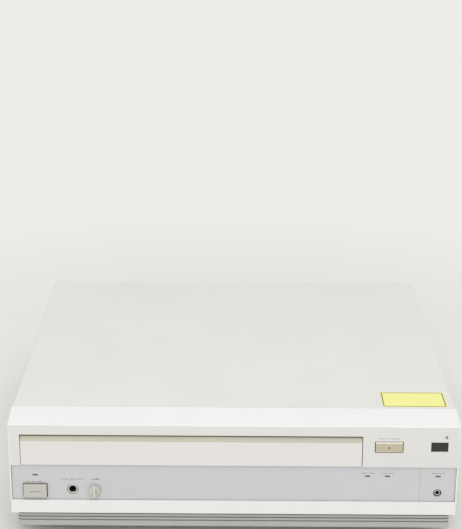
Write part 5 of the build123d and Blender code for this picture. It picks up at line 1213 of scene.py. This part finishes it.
# -------- top cover
# One sheet of steel folded over the works and hemmed at the back, primed and stove
# enamelled in a pale grey. The enamel has a fine texture that hides fingermarks.
def stove_enamel(name, shade, light, dust_and_shade):
    """Stove enamel on sheet steel: satin, with fine orange peel, a faint haze of dust, and its corners
    darkened, part dust and part painted shade.
    """
    material, tree, shader, place = surface(name, 0.4, IOR=1.52)
    body = cloudy(tree, place, shade, light, 110.0)
    dust = spread(tree, mottle(tree, place, 45.0, 5.0, 2.0), 0.5, 0.8, 0.0, 0.12)
    coloured(tree, shader, dusted_and_shaded(tree, between(tree, dust, body, "#C9C8C1"), dust_and_shade, 4.0, 0.5))
    uneven(tree, shader, place, 60.0, 0.34, 0.46)
    bumped(tree, shader, place, 1.1, 0.015, 0.6)
    return material


enamel = stove_enamel("pale_grey_stove_enamel", "#DEDFDA", "#E1E2DD", "#8C8D88")
finished("top_cover", enamel)


# -------- cover screws
# Four flush screws hold the cover's sides, and three pan-head screws its back edge.
side_at = 0.9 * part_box("top_cover")[1].x
for title, head in (("cover_side_screws", FLUSH_HEAD), ("cover_back_screws", PAN_HEAD)):
    spots = screw_spots("cover_screws", head["Head Height"])
    spots = [spot for spot in spots if (abs(spot[0].x) > side_at) == (head is FLUSH_HEAD)]
    screws = grown(title, seeds(title, spots), cross_head, head)
    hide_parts("cover_screws")


# -------- label
# A yellow vinyl label on the right of the cover, near the front, with a printed border.
# Its field is bare.
LABEL_AT = (173.2 * MM, 54.2 * MM)  # middle, from the player's middle and from the bezel's face
LABEL_SIZE = (61.8 * MM, 34.0 * MM)
LABEL_THICK = 0.12 * MM
LABEL_CORNER, CORNER_STEPS = 1.5 * MM, 5
BORDER_IN, BORDER_WIDE = 0.8 * MM, 1.0 * MM


def rounded_outline(x, y, wide, high, radius):
    """The corners of a rectangle with rounded corners, in order."""
    corners = []
    for quarter, (side, end) in enumerate(((1, 1), (-1, 1), (-1, -1), (1, -1))):
        mid_x, mid_y = x + side * (wide / 2 - radius), y + end * (high / 2 - radius)
        for step in range(CORNER_STEPS + 1):
            turn = (quarter + step / CORNER_STEPS) * math.pi / 2
            corners.append((mid_x + radius * math.cos(turn), mid_y + radius * math.sin(turn)))
    return corners


cover_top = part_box("top_cover")[1].z
x, y = LABEL_AT[0], bezel_face + LABEL_AT[1]
wide, high = LABEL_SIZE
field = rounded_outline(x, y, wide, high, LABEL_CORNER)
outer = rounded_outline(x, y, wide - 2 * BORDER_IN, high - 2 * BORDER_IN, LABEL_CORNER)
within = BORDER_IN + BORDER_WIDE
inner = rounded_outline(x, y, wide - 2 * within, high - 2 * within, LABEL_CORNER / 2)
label_top = cover_top + LABEL_THICK
# Printed vinyl: saturated, smooth and a little glossy, with a slight ripple.
vinyl_shades, ripple = ("#F0EC8E", "#F3F098"), {"drift": (12.0, 0.28, 0.4), "grain": (14.0, 0.05, 0.3)}
yellow_vinyl = skin("yellow_label_vinyl", vinyl_shades, 25.0, 0.32, **ripple, IOR=1.52)
border_ink = screen_ink("olive_border_ink", "#6F6C33", "#7B783E")
label = bmesh.new()
prism(label, *([(x, y, z) for x, y in field] for z in (cover_top - 0.02 * MM, label_top)))
bmesh.ops.recalc_face_normals(label, faces=label.faces)
built("cover_label", label, yellow_vinyl, "root")
low, high = label_top - 0.01 * MM, label_top + INK_THICK / 2
sections = ([(*out, low), (*out, high), (*into, high), (*into, low)] for out, into in zip(outer, inner))
border = lofted(sections)
built("cover_label_border", border, border_ink, "root")
